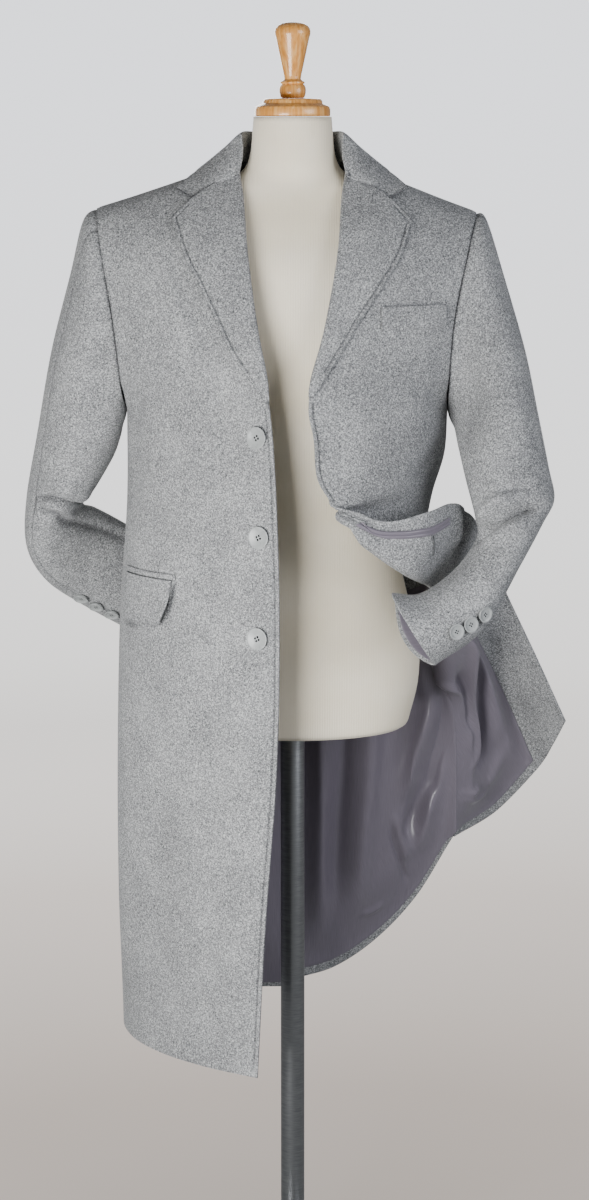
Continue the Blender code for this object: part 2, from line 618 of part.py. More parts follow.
def turned(name, profile, finish, y, sides=28):
    """A turned piece: a profile of radius and height pairs, from top to bottom, spun about the vertical."""
    line = bmesh.new()
    verts = [line.verts.new((radius, 0, z)) for radius, z in profile]
    for first, second in zip(verts, verts[1:]):
        line.edges.new((first, second))
    piece = add_object(name, line, finish)
    piece.location = (0, y, 0)
    spin = piece.modifiers.new("Spin", "SCREW")
    spin.steps = sides
    spin.render_steps = sides
    spin.use_merge_vertices = True
    spin.merge_threshold = 0.00005
    return piece


torso()
turned("form_neck_cap", NECK_CAP, "wood", NECK_Y)
turned("form_finial", FINIAL, "wood", NECK_Y)
turned("stand_pole", POLE, "steel", 0, 20)
turned("stand_base", BASE, "steel", 0, 40)
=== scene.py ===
"""A grey wool topcoat, worn open with its left front swept back, on a limbless dress form.

Metres. +Z is up, -Y is the front and +X is the wearer's left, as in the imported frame.
"""
import math
from collections import namedtuple

import bpy
import numpy as np
from mathutils import Matrix, Vector


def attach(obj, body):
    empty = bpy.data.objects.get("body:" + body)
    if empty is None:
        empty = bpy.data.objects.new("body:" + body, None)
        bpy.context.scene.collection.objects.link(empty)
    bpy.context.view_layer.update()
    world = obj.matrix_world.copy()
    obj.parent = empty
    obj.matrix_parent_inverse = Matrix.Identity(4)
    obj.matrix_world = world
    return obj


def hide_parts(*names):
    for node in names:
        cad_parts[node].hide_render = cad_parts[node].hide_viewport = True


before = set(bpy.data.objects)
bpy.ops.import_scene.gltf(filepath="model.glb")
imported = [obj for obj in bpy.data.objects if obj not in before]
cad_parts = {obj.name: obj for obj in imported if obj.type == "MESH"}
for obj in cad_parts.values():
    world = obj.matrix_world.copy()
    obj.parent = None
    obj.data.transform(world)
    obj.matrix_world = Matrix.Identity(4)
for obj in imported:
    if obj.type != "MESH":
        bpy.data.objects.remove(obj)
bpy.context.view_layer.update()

# Stand: a round weighted base and a straight pole of satin-brushed steel.
# Both are turned, with small rounded edges, and the pole screws into the base.
BASE = ((0.187, 0.0), (0.190, 0.002), (0.190, 0.008), (0.184, 0.014))     # radius and height, upwards
POLE = ((0.016, 0.0143), (0.016, 0.4), (0.016, 0.7997))
STEEL = "#A9AAAB"
STEEL_DARK = "#8E9092"
BRUSH_M = 0.0012              # from line to line of the brushing
STREAKS_A_METRE = 60          # along the lines


def linear(code):
    """A colour's sRGB hex code as linear red, green, blue and alpha."""
    parts = [int(code[i:i + 2], 16) / 255 for i in (1, 3, 5)]
    return [c / 12.92 if c <= 0.04045 else ((c + 0.055) / 1.055) ** 2.4 for c in parts] + [1.0]


def new_material(name, **sockets):
    """A material whose Principled shader has these values on its own sockets."""
    material = bpy.data.materials.new(name)
    material.use_nodes = True
    shader = material.node_tree.nodes["Principled BSDF"]
    for socket, value in sockets.items():
        shader.inputs[socket.replace("_", " ")].default_value = value
    return material


def add_node(material, kind, settings=(), links=(), into=None):
    """Adds a node with its settings (properties, input values or ramp stops) and its links.

    A link comes from a socket or a node's first output. Into is the shader's socket that the node feeds.
    """
    tree = material.node_tree
    node = tree.nodes.new("ShaderNode" + kind)
    for name, value in dict(settings).items():
        if name == "stops":
            node.color_ramp.elements[0].position = value[0][0]
            node.color_ramp.elements[1].position = value[-1][0]
            for place, _ in value[1:-1]:
                node.color_ramp.elements.new(place)
            for element, (_, code) in zip(node.color_ramp.elements, value):
                element.color = linear(code)
        elif isinstance(name, str) and hasattr(node, name):
            setattr(node, name, value)
        else:
            node.inputs[name].default_value = value
    for name, source in dict(links).items():
        tree.links.new(getattr(source, "outputs", (source,))[0], node.inputs[name])
    if into:
        tree.links.new(node.outputs[0], tree.nodes["Principled BSDF"].inputs[into])
    return node


def deselect():
    bpy.ops.object.select_all(action="DESELECT")


def apply_modifiers(piece):
    """Applies the piece's modifiers in turn, with nothing else selected."""
    deselect()
    piece.select_set(True)
    bpy.context.view_layer.objects.active = piece
    for modifier in list(piece.modifiers):
        bpy.ops.object.modifier_apply(modifier=modifier.name)


def round_edges(piece, width, segments, degrees):
    """Rounds the edges that are sharper than an angle, after the piece's other modifiers."""
    soften = piece.modifiers.new("Rounding", "BEVEL")
    soften.width = width
    soften.segments = segments
    soften.angle_limit = math.radians(degrees)
    apply_modifiers(piece)


def turned(name, profile, y, sides=64, rounding=0.0012):
    """A turned piece: a disc extruded and resized from bottom to top through radius and height pairs."""
    deselect()
    radius, height = profile[0]
    bpy.ops.mesh.primitive_circle_add(vertices=sides, radius=radius, fill_type="NGON",
                                      location=(0, y, height))
    piece = bpy.context.object
    piece.name = name
    bpy.ops.object.mode_set(mode="EDIT")
    bpy.ops.mesh.select_all(action="SELECT")
    for (radius, height), (wider, higher) in zip(profile, profile[1:]):
        bpy.ops.mesh.extrude_region_move(TRANSFORM_OT_translate={"value": (0, 0, higher - height)})
        share = wider / radius
        bpy.ops.transform.resize(value=(share, share, 1), center_override=(0, y, higher))
    bpy.ops.mesh.select_all(action="SELECT")
    bpy.ops.mesh.normals_make_consistent(inside=False)
    bpy.ops.object.mode_set(mode="OBJECT")
    bpy.ops.object.transform_apply(location=True, rotation=True, scale=True)
    round_edges(piece, rounding, 3, 25)
    bpy.ops.object.shade_smooth_by_angle(angle=math.radians(40))
    return piece


def settle(piece, node, material):
    """The finished piece takes its material, stands for its node and rides on the one body."""
    piece.name = node + "_look"
    if not piece.data.materials:
        piece.data.materials.append(material)
    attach(piece, "root")
    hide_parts(node)


# Satin-brushed steel: fine lines round the axis, which break its gloss into soft streaks.
steel = new_material("satin_brushed_steel", Metallic=1.0)
place = add_node(steel, "TexCoord").outputs["Object"]
streaks = add_node(steel, "Mapping", {"Scale": (STREAKS_A_METRE, STREAKS_A_METRE, 1 / BRUSH_M)},
                   {"Vector": place})
brushing = add_node(steel, "TexNoise", {"Scale": 1.0, "Detail": 3.0}, {"Vector": streaks})
add_node(steel, "ValToRGB", {"stops": ((0.3, STEEL_DARK), (0.7, STEEL))}, {"Fac": brushing}, "Base Color")
add_node(steel, "MapRange", {"To Min": 0.26, "To Max": 0.42}, {"Value": brushing}, "Roughness")
settle(turned("stand_base", BASE, 0, 96), "stand_base", steel)
settle(turned("stand_pole", POLE, 0), "stand_pole", steel)

# Torso of the dress form: a padded limbless body, covered in stretched cream cotton jersey.
# Its neck goes up to the wood cap, and the coat hangs from its shoulders.
TorsoRing = namedtuple("TorsoRing", "z width depth y")
TORSO = [TorsoRing(*ring) for ring in (
    (0.800, 0.146, 0.098, 0.010),
    (0.815, 0.156, 0.106, 0.010),
    (0.900, 0.168, 0.114, 0.012),
    (1.060, 0.136, 0.096, 0.006),
    (1.200, 0.152, 0.108, 0.002),
    (1.310, 0.165, 0.111, 0.000),
    (1.400, 0.176, 0.097, 0.002),
    (1.452, 0.179, 0.075, 0.004),
    (1.4866, 0.157, 0.057, 0.006),
    (1.5076, 0.118, 0.049, 0.008),
    (1.523, 0.075, 0.048, 0.010),
    (1.545, 0.056, 0.050, 0.010),
    (1.598, 0.050, 0.052, 0.008),
)]
TORSO_SIDES = 72
TORSO_LEVELS = 97
JERSEY = "#FDF3DE"
JERSEY_SHADE = "#F5E9CF"
KNIT_M = 0.0016


def curve(points, t, before=None, after=None):
    """Places on a smooth curve through points that lie at t = 0, 1, 2 and so on."""
    points = np.asarray(points, float)
    t = np.asarray(t, float)
    i = np.clip(np.floor(t).astype(int), 0, len(points) - 2)
    f = (t - i).reshape(t.shape + (1,) * (points.ndim - 1))
    head = 2 * points[0] - points[1] if before is None else before
    tail = 2 * points[-1] - points[-2] if after is None else after
    chain = np.concatenate(([head], points, [tail]))
    behind, here, there, ahead = (chain[i + k] for k in range(4))
    bend = 2 * behind - 5 * here + 4 * there - ahead
    twist = 3 * (here - there) + ahead - behind
    return here + 0.5 * f * (there - behind + f * (bend + f * twist))


deselect()
bpy.ops.mesh.primitive_uv_sphere_add(segments=TORSO_SIDES, ring_count=TORSO_LEVELS + 1, radius=1)
torso = bpy.context.object
torso.name = "form_torso"
rings = curve(np.array(TORSO), np.linspace(0, len(TORSO) - 1, TORSO_LEVELS))
for vert in torso.data.vertices:
    level = round((1 - math.acos(max(-1, min(1, vert.co.z))) / math.pi) * (TORSO_LEVELS + 1)) - 1
    z, width, depth, y = rings[min(max(level, 0), TORSO_LEVELS - 1)]
    angle = math.atan2(vert.co.y, vert.co.x)
    reach = 1 if 0 <= level < TORSO_LEVELS else 0
    vert.co = (reach * width * math.cos(angle), y + reach * depth * math.sin(angle), z)
torso.data.shade_smooth()

# Cotton jersey: fine upright ribs of knit, drawn at twice their real width so that they show.
jersey = new_material("cotton_jersey", Roughness=0.88, Sheen_Weight=0.25, Sheen_Roughness=0.5)
place = add_node(jersey, "TexCoord").outputs["Object"]
wales = add_node(jersey, "TexWave", {"Scale": 1 / (KNIT_M * 2 * math.pi), "Distortion": 0.6, "Detail": 1.0},
                 {"Vector": place})
mottle = add_node(jersey, "TexNoise", {"Scale": 9.0, "Detail": 4.0}, {"Vector": place})
add_node(jersey, "ValToRGB", {"stops": ((0.35, JERSEY_SHADE), (0.65, JERSEY))}, {"Fac": mottle}, "Base Color")
add_node(jersey, "Bump", {"Strength": 0.35, "Distance": 0.0006}, {"Height": wales.outputs["Fac"]}, "Normal")
settle(torso, "form_torso", jersey)

# Neck cap and finial: two turned pieces of honey-coloured wood, varnished to a gloss.
# The cap closes the neck, and the finial stands on it as the handle that the form is lifted by.
NECK_Y = 0.008
NECK_CAP = ((0.0478, 1.5985), (0.0485, 1.6000), (0.0485, 1.6070), (0.0472, 1.6108), (0.0420, 1.6135),
            (0.0386, 1.6150), (0.0382, 1.6175), (0.0366, 1.6202), (0.0335, 1.6210))
FINIAL = ((0.0140, 1.6213), (0.0158, 1.6235), (0.0170, 1.6275), (0.0173, 1.6310), (0.0168, 1.6350),
          (0.0152, 1.6380), (0.0138, 1.6388), (0.0155, 1.6402), (0.0155, 1.6420), (0.0128, 1.6434),
          (0.0106, 1.6452), (0.0112, 1.6500), (0.0134, 1.6600), (0.0160, 1.6720), (0.0188, 1.6850),
          (0.0214, 1.6970), (0.0228, 1.7015), (0.0230, 1.7050), (0.0222, 1.7085), (0.0196, 1.7120),
          (0.0150, 1.7148), (0.0080, 1.7166))
WOOD_PALE = "#F6C37A"
WOOD = "#E29A45"
WOOD_DARK = "#B87424"
GRAIN_M = 0.0035

# Varnished beech: upright grain with darker flecks, under a clear coat that gives sharp highlights.
wood = new_material("varnished_beech", Roughness=0.38, Coat_Weight=0.7, Coat_Roughness=0.08)
place = add_node(wood, "TexCoord").outputs["Object"]
upright = add_node(wood, "Mapping", {"Scale": (1 / GRAIN_M, 1 / GRAIN_M, 9)}, {"Vector": place})
grain = add_node(wood, "TexNoise", {"Scale": 1.0, "Detail": 5.0, "Roughness": 0.6, "Distortion": 0.4},
                 {"Vector": upright})
add_node(wood, "ValToRGB", {"stops": ((0.28, WOOD_DARK), (0.48, WOOD), (0.72, WOOD_PALE))}, {"Fac": grain},
         "Base Color")
add_node(wood, "Bump", {"Strength": 0.08, "Distance": 0.0004}, {"Height": grain}, "Normal")
settle(turned("form_neck_cap", NECK_CAP, NECK_Y, 72, 0.0006), "form_neck_cap", wood)
settle(turned("form_finial", FINIAL, NECK_Y, 72, 0.0004), "form_finial", wood)

# Body of the coat: two fronts and two half backs of wool melton, sewn at the shoulders, sides and back.
# Each panel is a grid on a smooth surface through a table of rows, from the neck down to the hem.
# The left front is turned over below the waist and swept back, so that its inside shows.
RIGHT, LEFT = -1, 1
SIDES = ((RIGHT, "right"), (LEFT, "left"))
WOOL_WALL = 0.0024
SEAM = 0.0003
NECK_POINT = (0.072, 0.000, 1.540)
NAPE = (0.000, 0.074, 1.524)
Armhole = namedtuple("Armhole", "top front bottom back")
ARMHOLES = {
    RIGHT: Armhole((-0.2515, 0.005, 1.483), (-0.2295, -0.064, 1.345),
                   (-0.216, 0.008, 1.222), (-0.214, 0.095, 1.340)),
    LEFT: Armhole((0.2365, 0.005, 1.478), (0.2065, -0.064, 1.345),
                  (0.202, 0.008, 1.222), (0.202, 0.095, 1.340)),
}
ARMPIT = 4                    # the row that ends at the armhole's bottom
NAPE_ROW = 2                  # the back's row that starts at the nape
SIDE_CREASE_ROW = 12          # from here down the left side seam is a sharp crease
Row = namedtuple("Row", "edge seam edge_turn seam_turn drop", defaults=(0,))
FRONT_TOP = (
    Row(NECK_POINT, 0, 0, 0),
    Row((0.0660, -0.052, 1.495), 45, -12, 14),
)
FRONT_RIGHT = FRONT_TOP + (
    Row((0.0595, -0.105, 1.425), 90, -8, 42),
    Row((0.0470, -0.142, 1.335), 135, 12, 64),
    Row((-0.030, -0.165, 1.246), 180, 38, 90),
    Row((-0.021, -0.178, 1.129), (-0.218, 0.018, 1.100), 30, 90),
    Row((-0.017, -0.187, 0.960), (-0.229, 0.022, 0.950), 28, 90),
    Row((-0.021, -0.190, 0.775), (-0.234, 0.028, 0.780), 28, 90),
    Row((-0.035, -0.190, 0.580), (-0.235, 0.038, 0.580), 28, 90),
    Row((-0.046, -0.187, 0.377), (-0.232, 0.050, 0.377), 28, 90),
)
FRONT_LEFT = FRONT_TOP + (
    Row((0.0600, -0.105, 1.425), 90, -8, 42),
    Row((0.0435, -0.142, 1.335), 135, 12, 64),
    Row((0.021, -0.172, 1.253), 180, 8, 90),
    Row((0.027, -0.176, 1.203), (0.199, 0.016, 1.165), 6, 88),
    Row((0.034, -0.185, 1.150), (0.184, 0.026, 1.110), 4, 86),
)
BACK_TOP = (
    Row(NECK_POINT, 0, 0, 0),
    Row((0.050, 0.052, 1.532), -45, 18, -18),
    Row(NAPE, -90, 24, -40),
    Row((0.000, 0.118, 1.420), -135, 8, -64),
    Row((0.000, 0.133, 1.280), 180, 0, -90),
)
BACK_RIGHT = BACK_TOP + (
    Row((0.000, 0.128, 1.110), 5, 0, -90),
    Row((0.000, 0.142, 0.950), 6, 0, -90),
    Row((0.000, 0.157, 0.780), 7, 0, -90),
    Row((0.000, 0.167, 0.580), 8, 0, -90),
    Row((0.000, 0.175, 0.374), 9, 0, -90),
)
BACK_LEFT = BACK_TOP + (
    Row((0.000, 0.130, 1.200), 5, 0, -88),
    Row((0.000, 0.128, 1.120), 6, 0, -86),
    Row((0.000, 0.130, 1.045), 7, 0, -84, 0.004),
    Row((0.000, 0.134, 0.970), 8, 0, -78, 0.008),
    Row((0.000, 0.141, 0.895), 9, 0, -72, 0.012),
    Row((0.000, 0.148, 0.820), 10, 0, -66, 0.018),
    Row((0.000, 0.155, 0.740), 11, 4, -60, 0.025),
    Row((0.000, 0.161, 0.655), 12, 8, -56, 0.032),
    Row((0.000, 0.166, 0.570), 13, 12, -52, 0.040),
    Row((0.000, 0.171, 0.485), 14, 16, -50, 0.046),
    Row((0.000, 0.176, 0.392), 15, 20, -50, 0.052),
)
# The rows below: free edge, middle of the turned leaf, its fold, back under it, and the side seam
FRONT_LEFT_SWEPT = (
    ((0.069, -0.190, 1.117), (0.067, -0.193, 1.110), (0.062, -0.190, 1.103),
     (0.148, -0.118, 1.066), (0.178, 0.040, 1.060)),
    ((0.117, -0.190, 1.103), (0.113, -0.195, 1.083), (0.104, -0.190, 1.063),
     (0.166, -0.090, 1.030), (0.182, 0.055, 1.010)),
    ((0.169, -0.166, 1.112), (0.165, -0.174, 1.070), (0.152, -0.168, 1.032),
     (0.180, -0.060, 1.000), (0.188, 0.070, 0.965)),
    ((0.205, -0.113, 1.115), (0.202, -0.116, 1.073), (0.190, -0.108, 1.035),
     (0.189, -0.018, 0.972), (0.195, 0.085, 0.925)),
    ((0.237, -0.030, 1.080), (0.228, -0.030, 1.032), (0.213, -0.022, 0.985),
     (0.199, 0.045, 0.925), (0.204, 0.100, 0.885)),
    ((0.262, 0.050, 1.025), (0.248, 0.056, 0.980), (0.233, 0.066, 0.935),
     (0.213, 0.100, 0.870), (0.213, 0.125, 0.830)),
    ((0.293, 0.115, 0.956), (0.277, 0.132, 0.915), (0.262, 0.148, 0.875),
     (0.233, 0.160, 0.802), (0.221, 0.150, 0.765)),
    ((0.336, 0.135, 0.866), (0.321, 0.172, 0.825), (0.305, 0.205, 0.785),
     (0.260, 0.220, 0.706), (0.225, 0.178, 0.680)),
    ((0.379, 0.150, 0.773), (0.366, 0.195, 0.728), (0.349, 0.235, 0.685),
     (0.292, 0.272, 0.613), (0.227, 0.200, 0.594)),
)
LAST_ROW = {RIGHT: 9, LEFT: 15}
FIRST_ANGLE = 45              # a back row's seam between 0 and this is a row of the front, else an angle
ROW_PULL = 0.36               # how far a row keeps its turn at either end, as a share of its span


def armhole_point(side, degrees):
    """A point of the armhole, from its top (0) over its front (90) to its bottom (180)."""
    top, front_point, bottom, back_point = (np.array(point) for point in ARMHOLES[side])
    middle = (top + bottom) / 2
    angle = math.radians(degrees)
    deepen = ((front_point + back_point) / 2 - middle) * (1 - math.cos(2 * angle)) / 2
    forward = (front_point - back_point) / 2 * math.sin(angle)
    return middle + (top - middle) * math.cos(angle) + forward + deepen


def heading(degrees, side):
    """Direction in plan at an angle from straight out to that side, towards the back."""
    return np.array((side * math.cos(math.radians(degrees)), math.sin(math.radians(degrees)), 0))


def row_points(row, side, seam):
    """Five points along a plain row: a curve that leaves and arrives at the row's turns."""
    start = np.array(row.edge) * ((side, 1, 1) if row.edge[0] > 0 and side == RIGHT else (1, 1, 1))
    reach = ROW_PULL * math.hypot(*(seam - start)[:2])
    rise = (seam - start)[2] / 3
    first = start + heading(row.edge_turn, side) * reach + (0, 0, rise)
    second = seam - heading(row.seam_turn, side) * reach - (0, 0, rise)
    share = np.linspace(0, 1, 5)[:, None]
    rest = 1 - share
    ends = rest ** 3 * start + share ** 3 * seam
    turns = 3 * rest ** 2 * share * first + 3 * rest * share ** 2 * second
    return ends + turns - (0, 0, 4 * row.drop) * share * rest


def plain_net(rows, side, seams=None):
    """Five columns of points. A row's seam is a point, an armhole angle or a row of another panel."""
    net = []
    for row in rows:
        if isinstance(row.seam, tuple):
            seam = np.array(row.seam)
        elif seams is not None and 0 < row.seam < FIRST_ANGLE:
            seam = seams[row.seam]
        else:
            seam = armhole_point(side, row.seam)
        net.append(row_points(row, side, seam))
    return net


class Panel:
    """A panel's smooth surface: u runs from its free edge (0) to the side (1), v counts its rows."""

    def __init__(self, net, corners):
        self.columns = np.array(net).transpose(1, 0, 2)
        self.corners = corners
        self.lead = [None] * 5
        self.beside = None
        self.creased_from = math.inf

    def columns_at(self, v):
        """The five columns at rows v. A column turns a corner where its line does."""
        found = []
        for i, column in enumerate(self.columns):
            corner = self.corners.get(i, len(column) - 1)
            line = curve(column[:corner + 1], np.minimum(v, corner), self.lead[i])
            if corner < len(column) - 1:
                below = curve(column[corner:], np.maximum(v - corner, 0))
                line = np.where((v <= corner)[:, None], line, below)
            found.append(line)
        return np.array(found)

    def grid(self, us, vs):
        """Points at lines us and vs. Below the armhole the surface runs on smoothly into the next panel."""
        columns = self.columns_at(vs)
        smooth = np.clip(vs - ARMPIT + 1, 0, 1) * np.clip(self.creased_from - vs, 0, 1)
        past = 2 * columns[4] - columns[3]
        past = past + smooth[:, None] * (self.beside.columns_at(vs)[3] - past)
        return curve(columns, 4 * us, None, past).transpose(1, 0, 2)


front_net = {
    RIGHT: plain_net(FRONT_RIGHT, RIGHT),
    LEFT: plain_net(FRONT_LEFT, LEFT) + [np.array(row) for row in FRONT_LEFT_SWEPT],
}
front = {side: Panel(front_net[side], {4: ARMPIT}) for side in (RIGHT, LEFT)}
back_rows = {RIGHT: BACK_RIGHT, LEFT: BACK_LEFT}
back = {side: Panel(plain_net(back_rows[side], side, front[side].columns[4]), {0: NAPE_ROW, 4: ARMPIT})
        for side in (RIGHT, LEFT)}
for side in (RIGHT, LEFT):
    for panel, beside in ((front[side], back[side]), (back[side], front[side])):
        panel.lead = [column[1] for column in beside.columns]
        panel.beside = beside
front[LEFT].creased_from = back[LEFT].creased_from = SIDE_CREASE_ROW


def lines(first, last, count):
    return np.linspace(first, last, count)


def eased(share):
    """A share from 0 to 1, with a slow start and end."""
    return share ** 2 * (3 - 2 * share)


# A fold is a trough (depth below 0) or ridge along a path of (u, v) places. Width is its half width.
# Power 2 makes it soft and power 1 crisp. Fade is the share of its length in which each end dies away.
Fold = namedtuple("Fold", "path width depth power fade", defaults=(2.0, 0.3))


class Cloth:
    """A sheet of cloth: a fine grid of points over lines us and vs, with its outer side's direction."""

    def __init__(self, us, vs, points, outward):
        self.us, self.vs = np.asarray(us, float), np.asarray(vs, float)
        self.points = np.array(points)
        self.outward = outward
        self.shade = np.zeros(self.points.shape[:2])
        self.measure()

    def measure(self):
        across, down = np.gradient(self.points, axis=1), np.gradient(self.points, axis=0)
        normals = np.cross(across, down) * self.outward
        self.normals = normals / np.maximum(np.linalg.norm(normals, axis=2, keepdims=True), 1e-12)
        steps = np.linalg.norm(np.diff(self.points, axis=1), axis=2)
        self.across = np.concatenate((np.zeros((len(self.vs), 1)), np.cumsum(steps, axis=1)), axis=1)
        steps = np.linalg.norm(np.diff(self.points, axis=0), axis=2)
        self.down = np.concatenate((np.zeros((1, len(self.us))), np.cumsum(steps, axis=0)))

    def at(self, u, v, lift=0.0):
        """Points at places (u, v), moved out from the cloth by lift."""
        u, v = np.broadcast_arrays(np.asarray(u, float), np.asarray(v, float))
        i = np.interp(u, self.us, np.arange(len(self.us)))
        j = np.interp(v, self.vs, np.arange(len(self.vs)))
        i0, j0 = np.minimum(i.astype(int), len(self.us) - 2), np.minimum(j.astype(int), len(self.vs) - 2)
        fi, fj = (i - i0)[..., None], (j - j0)[..., None]
        found = 0
        for di, share_i in ((0, 1 - fi), (1, fi)):
            for dj, share_j in ((0, 1 - fj), (1, fj)):
                corner = self.points[j0 + dj, i0 + di]
                normal = self.normals[j0 + dj, i0 + di]
                found = found + share_i * share_j * (corner + normal * np.asarray(lift)[..., None])
        return found

    def press(self, folds, shade=0.0):
        """Presses folds into the cloth along its normals, and paints shade along them, as dark as shade says.
        """
        flat = self.points.reshape(-1, 3)
        push = np.zeros(len(flat))
        for fold in folds:
            count = 8 * (len(fold.path) - 1) + 1
            way = curve(np.array(fold.path, float), np.linspace(0, len(fold.path) - 1, count))
            line = self.at(way[:, 0], way[:, 1])
            nearest = np.full(len(flat), np.inf)
            along = np.zeros(len(flat))
            for n, (start, end) in enumerate(zip(line, line[1:])):
                leg = end - start
                t = np.clip((flat - start) @ leg / max(leg @ leg, 1e-12), 0, 1)
                far = np.linalg.norm(flat - start - t[:, None] * leg, axis=1)
                closer = far < nearest
                nearest[closer] = far[closer]
                along[closer] = (n + t[closer]) / (count - 1)
            ends = np.clip(np.minimum(along, 1 - along) / fold.fade, 0, 1)
            profile = np.exp(-(nearest / fold.width) ** fold.power) * eased(ends)
            push += fold.depth * profile
            self.shade += shade * profile.reshape(self.shade.shape)
        self.points += self.normals * push.reshape(self.points.shape[:2])[..., None]
        self.measure()

    def locate(self, x, z):
        """Places (u, v) that lie at x and z seen from the front."""
        x, z = np.broadcast_arrays(np.asarray(x, float), np.asarray(z, float))
        nearest = [np.argmin((self.points[:, :, 0] - a) ** 2 + (self.points[:, :, 2] - b) ** 2)
                   for a, b in zip(x.reshape(-1), z.reshape(-1))]
        j, i = np.unravel_index(np.reshape(nearest, x.shape), self.points.shape[:2])
        u, v = self.us[i], self.vs[j]
        step_u, step_v = 0.004, 0.02
        for _ in range(4):
            here = self.at(u, v)
            by_u, by_v = (self.at(u + step_u, v) - here) / step_u, (self.at(u, v + step_v) - here) / step_v
            off_x, off_z = x - here[..., 0], z - here[..., 2]
            scale = by_u[..., 0] * by_v[..., 2] - by_v[..., 0] * by_u[..., 2]
            u = u + (off_x * by_v[..., 2] - by_v[..., 0] * off_z) / scale
            v = v + (by_u[..., 0] * off_z - off_x * by_u[..., 2]) / scale
        return u, v

    def sink(self, edge, depth, reach, share=1.0, shade=0.14):
        """Sinks the cloth along one edge, as it dips into a seam, and paints a line of shade along that edge.
        Share weights the rows or columns.
        """
        along = {"top": self.down, "start": self.across, "end": self.across[:, -1:] - self.across}[edge]
        push = -depth * np.exp(-(along / reach) ** 2) * share
        self.points += self.normals * push[..., None]
        self.shade = self.shade + shade * np.exp(-(along / SEAM_LINE) ** 2) * share
        self.measure()

    def inset(self, edge, distance, first, last, count):
        """Places at a distance inside an edge, between two rows (or two columns for the top)."""
        found = []
        for n in lines(first, last, count):
            if edge == "top":
                i = np.argmin(np.abs(self.us - n))
                found.append((n, np.interp(distance, self.down[:, i], self.vs)))
            else:
                row = self.across[np.argmin(np.abs(self.vs - n))]
                along = distance if edge == "start" else row[-1] - distance
                found.append((np.interp(along, row, self.us), n))
        return found

    def patch(self, us, vs, lift, facing=1):
        """Another sheet that follows this one, moved out by lift. Facing -1 shows its other side."""
        grid_u, grid_v = np.meshgrid(us, vs)
        return Cloth(us, vs, self.at(grid_u, grid_v, lift), self.outward * facing)


SOFT_EDGE = 0.35              # rounding of a cut edge, as a share of the wall
SEAM_LINE = 0.0016            # half width of the shade in a seam


def made_up(name, cloth, wall):
    """Makes a sheet a mesh with a wall and soft edges, with its lengths as UVs and the shade painted on it as
    an attribute.
    """
    points, across, down, shade = cloth.points, cloth.across, cloth.down, cloth.shade
    if cloth.outward < 0:
        points, across, down, shade = (grid[:, ::-1] for grid in (points, across, down, shade))
    rows, columns = points.shape[:2]
    deselect()
    bpy.ops.mesh.primitive_grid_add(x_subdivisions=columns - 1, y_subdivisions=rows - 1, size=1)
    piece = bpy.context.object
    piece.name = name
    mesh = piece.data
    mesh.vertices.foreach_set("co", points.reshape(-1))
    corners = np.zeros(len(mesh.loops), int)
    mesh.loops.foreach_get("vertex_index", corners)
    lengths = np.stack((across, np.broadcast_to(down.mean(axis=1, keepdims=True), across.shape)), axis=2)
    mesh.uv_layers.active.data.foreach_set("uv", lengths.reshape(-1, 2)[corners].reshape(-1))
    mesh.attributes.new("seam_shade", "FLOAT", "POINT").data.foreach_set("value", shade.reshape(-1))
    mesh.update()
    thicken = piece.modifiers.new("Wall", "SOLIDIFY")
    thicken.thickness = wall
    thicken.offset = -1
    round_edges(piece, wall * SOFT_EDGE, 2, 60)
    piece.data.shade_smooth()
    return piece


def sew(name, cloth, wall, material):
    """Makes up a sheet and sets it in its node's place."""
    piece = made_up(name, cloth, wall)
    settle(piece, name, material)
    return piece


# Wool melton: milled until the weave is hidden, heathered from pale and dark fibres, with a short nap.
# It looks salt-and-pepper close up and even from afar, and the nap softens it at grazing angles.
FLECK_M = 0.0013
TUFT_M = 0.0019
CLOUD_M = 0.060
FLECK_SHARE = 0.30
CLOUD_SHARE = 0.16
WOOL_DARK = "#3C3D3F"
WOOL_MID = "#868788"
WOOL_PALE = "#D2D3D2"
wool = new_material("wool_melton", Roughness=0.95, Sheen_Weight=0.12, Sheen_Roughness=0.5,
                    Specular_IOR_Level=0.12)
place = add_node(wool, "TexCoord").outputs["Object"]
flecks = add_node(wool, "TexVoronoi", {"Scale": 1 / FLECK_M}, {"Vector": place})
tufts = add_node(wool, "TexNoise", {"Scale": 1 / TUFT_M, "Detail": 3.0, "Roughness": 0.7}, {"Vector": place})
clouds = add_node(wool, "TexNoise", {"Scale": 1 / CLOUD_M, "Detail": 3.0}, {"Vector": place})
mixed = add_node(wool, "Math", {"operation": "MULTIPLY_ADD", 1: FLECK_SHARE},
                 {0: flecks.outputs["Color"], 2: tufts})
clouded = add_node(wool, "Math", {"operation": "MULTIPLY_ADD", 1: CLOUD_SHARE}, {0: clouds, 2: mixed})
level = add_node(wool, "MapRange", {"From Min": 0.46, "From Max": 1.00}, {"Value": clouded})
# Painted shade: the shade painted on each piece darkens the wool along its seams and stitch lines, round the
# armholes, in the notch, at the elbows and beside the pocket flap.
painted_shade_in_wool = add_node(wool, "Attribute", {"attribute_name": "seam_shade"}).outputs["Fac"]
shaded = add_node(wool, "Math", {"operation": "MULTIPLY_ADD", 1: -1.0}, {0: painted_shade_in_wool, 2: level})
add_node(wool, "ValToRGB", {"stops": ((0.0, WOOL_DARK), (0.5, WOOL_MID), (1.0, WOOL_PALE))}, {"Fac": shaded},
         "Base Color")
add_node(wool, "Bump", {"Strength": 0.30, "Distance": 0.0006}, {"Height": tufts}, "Normal")

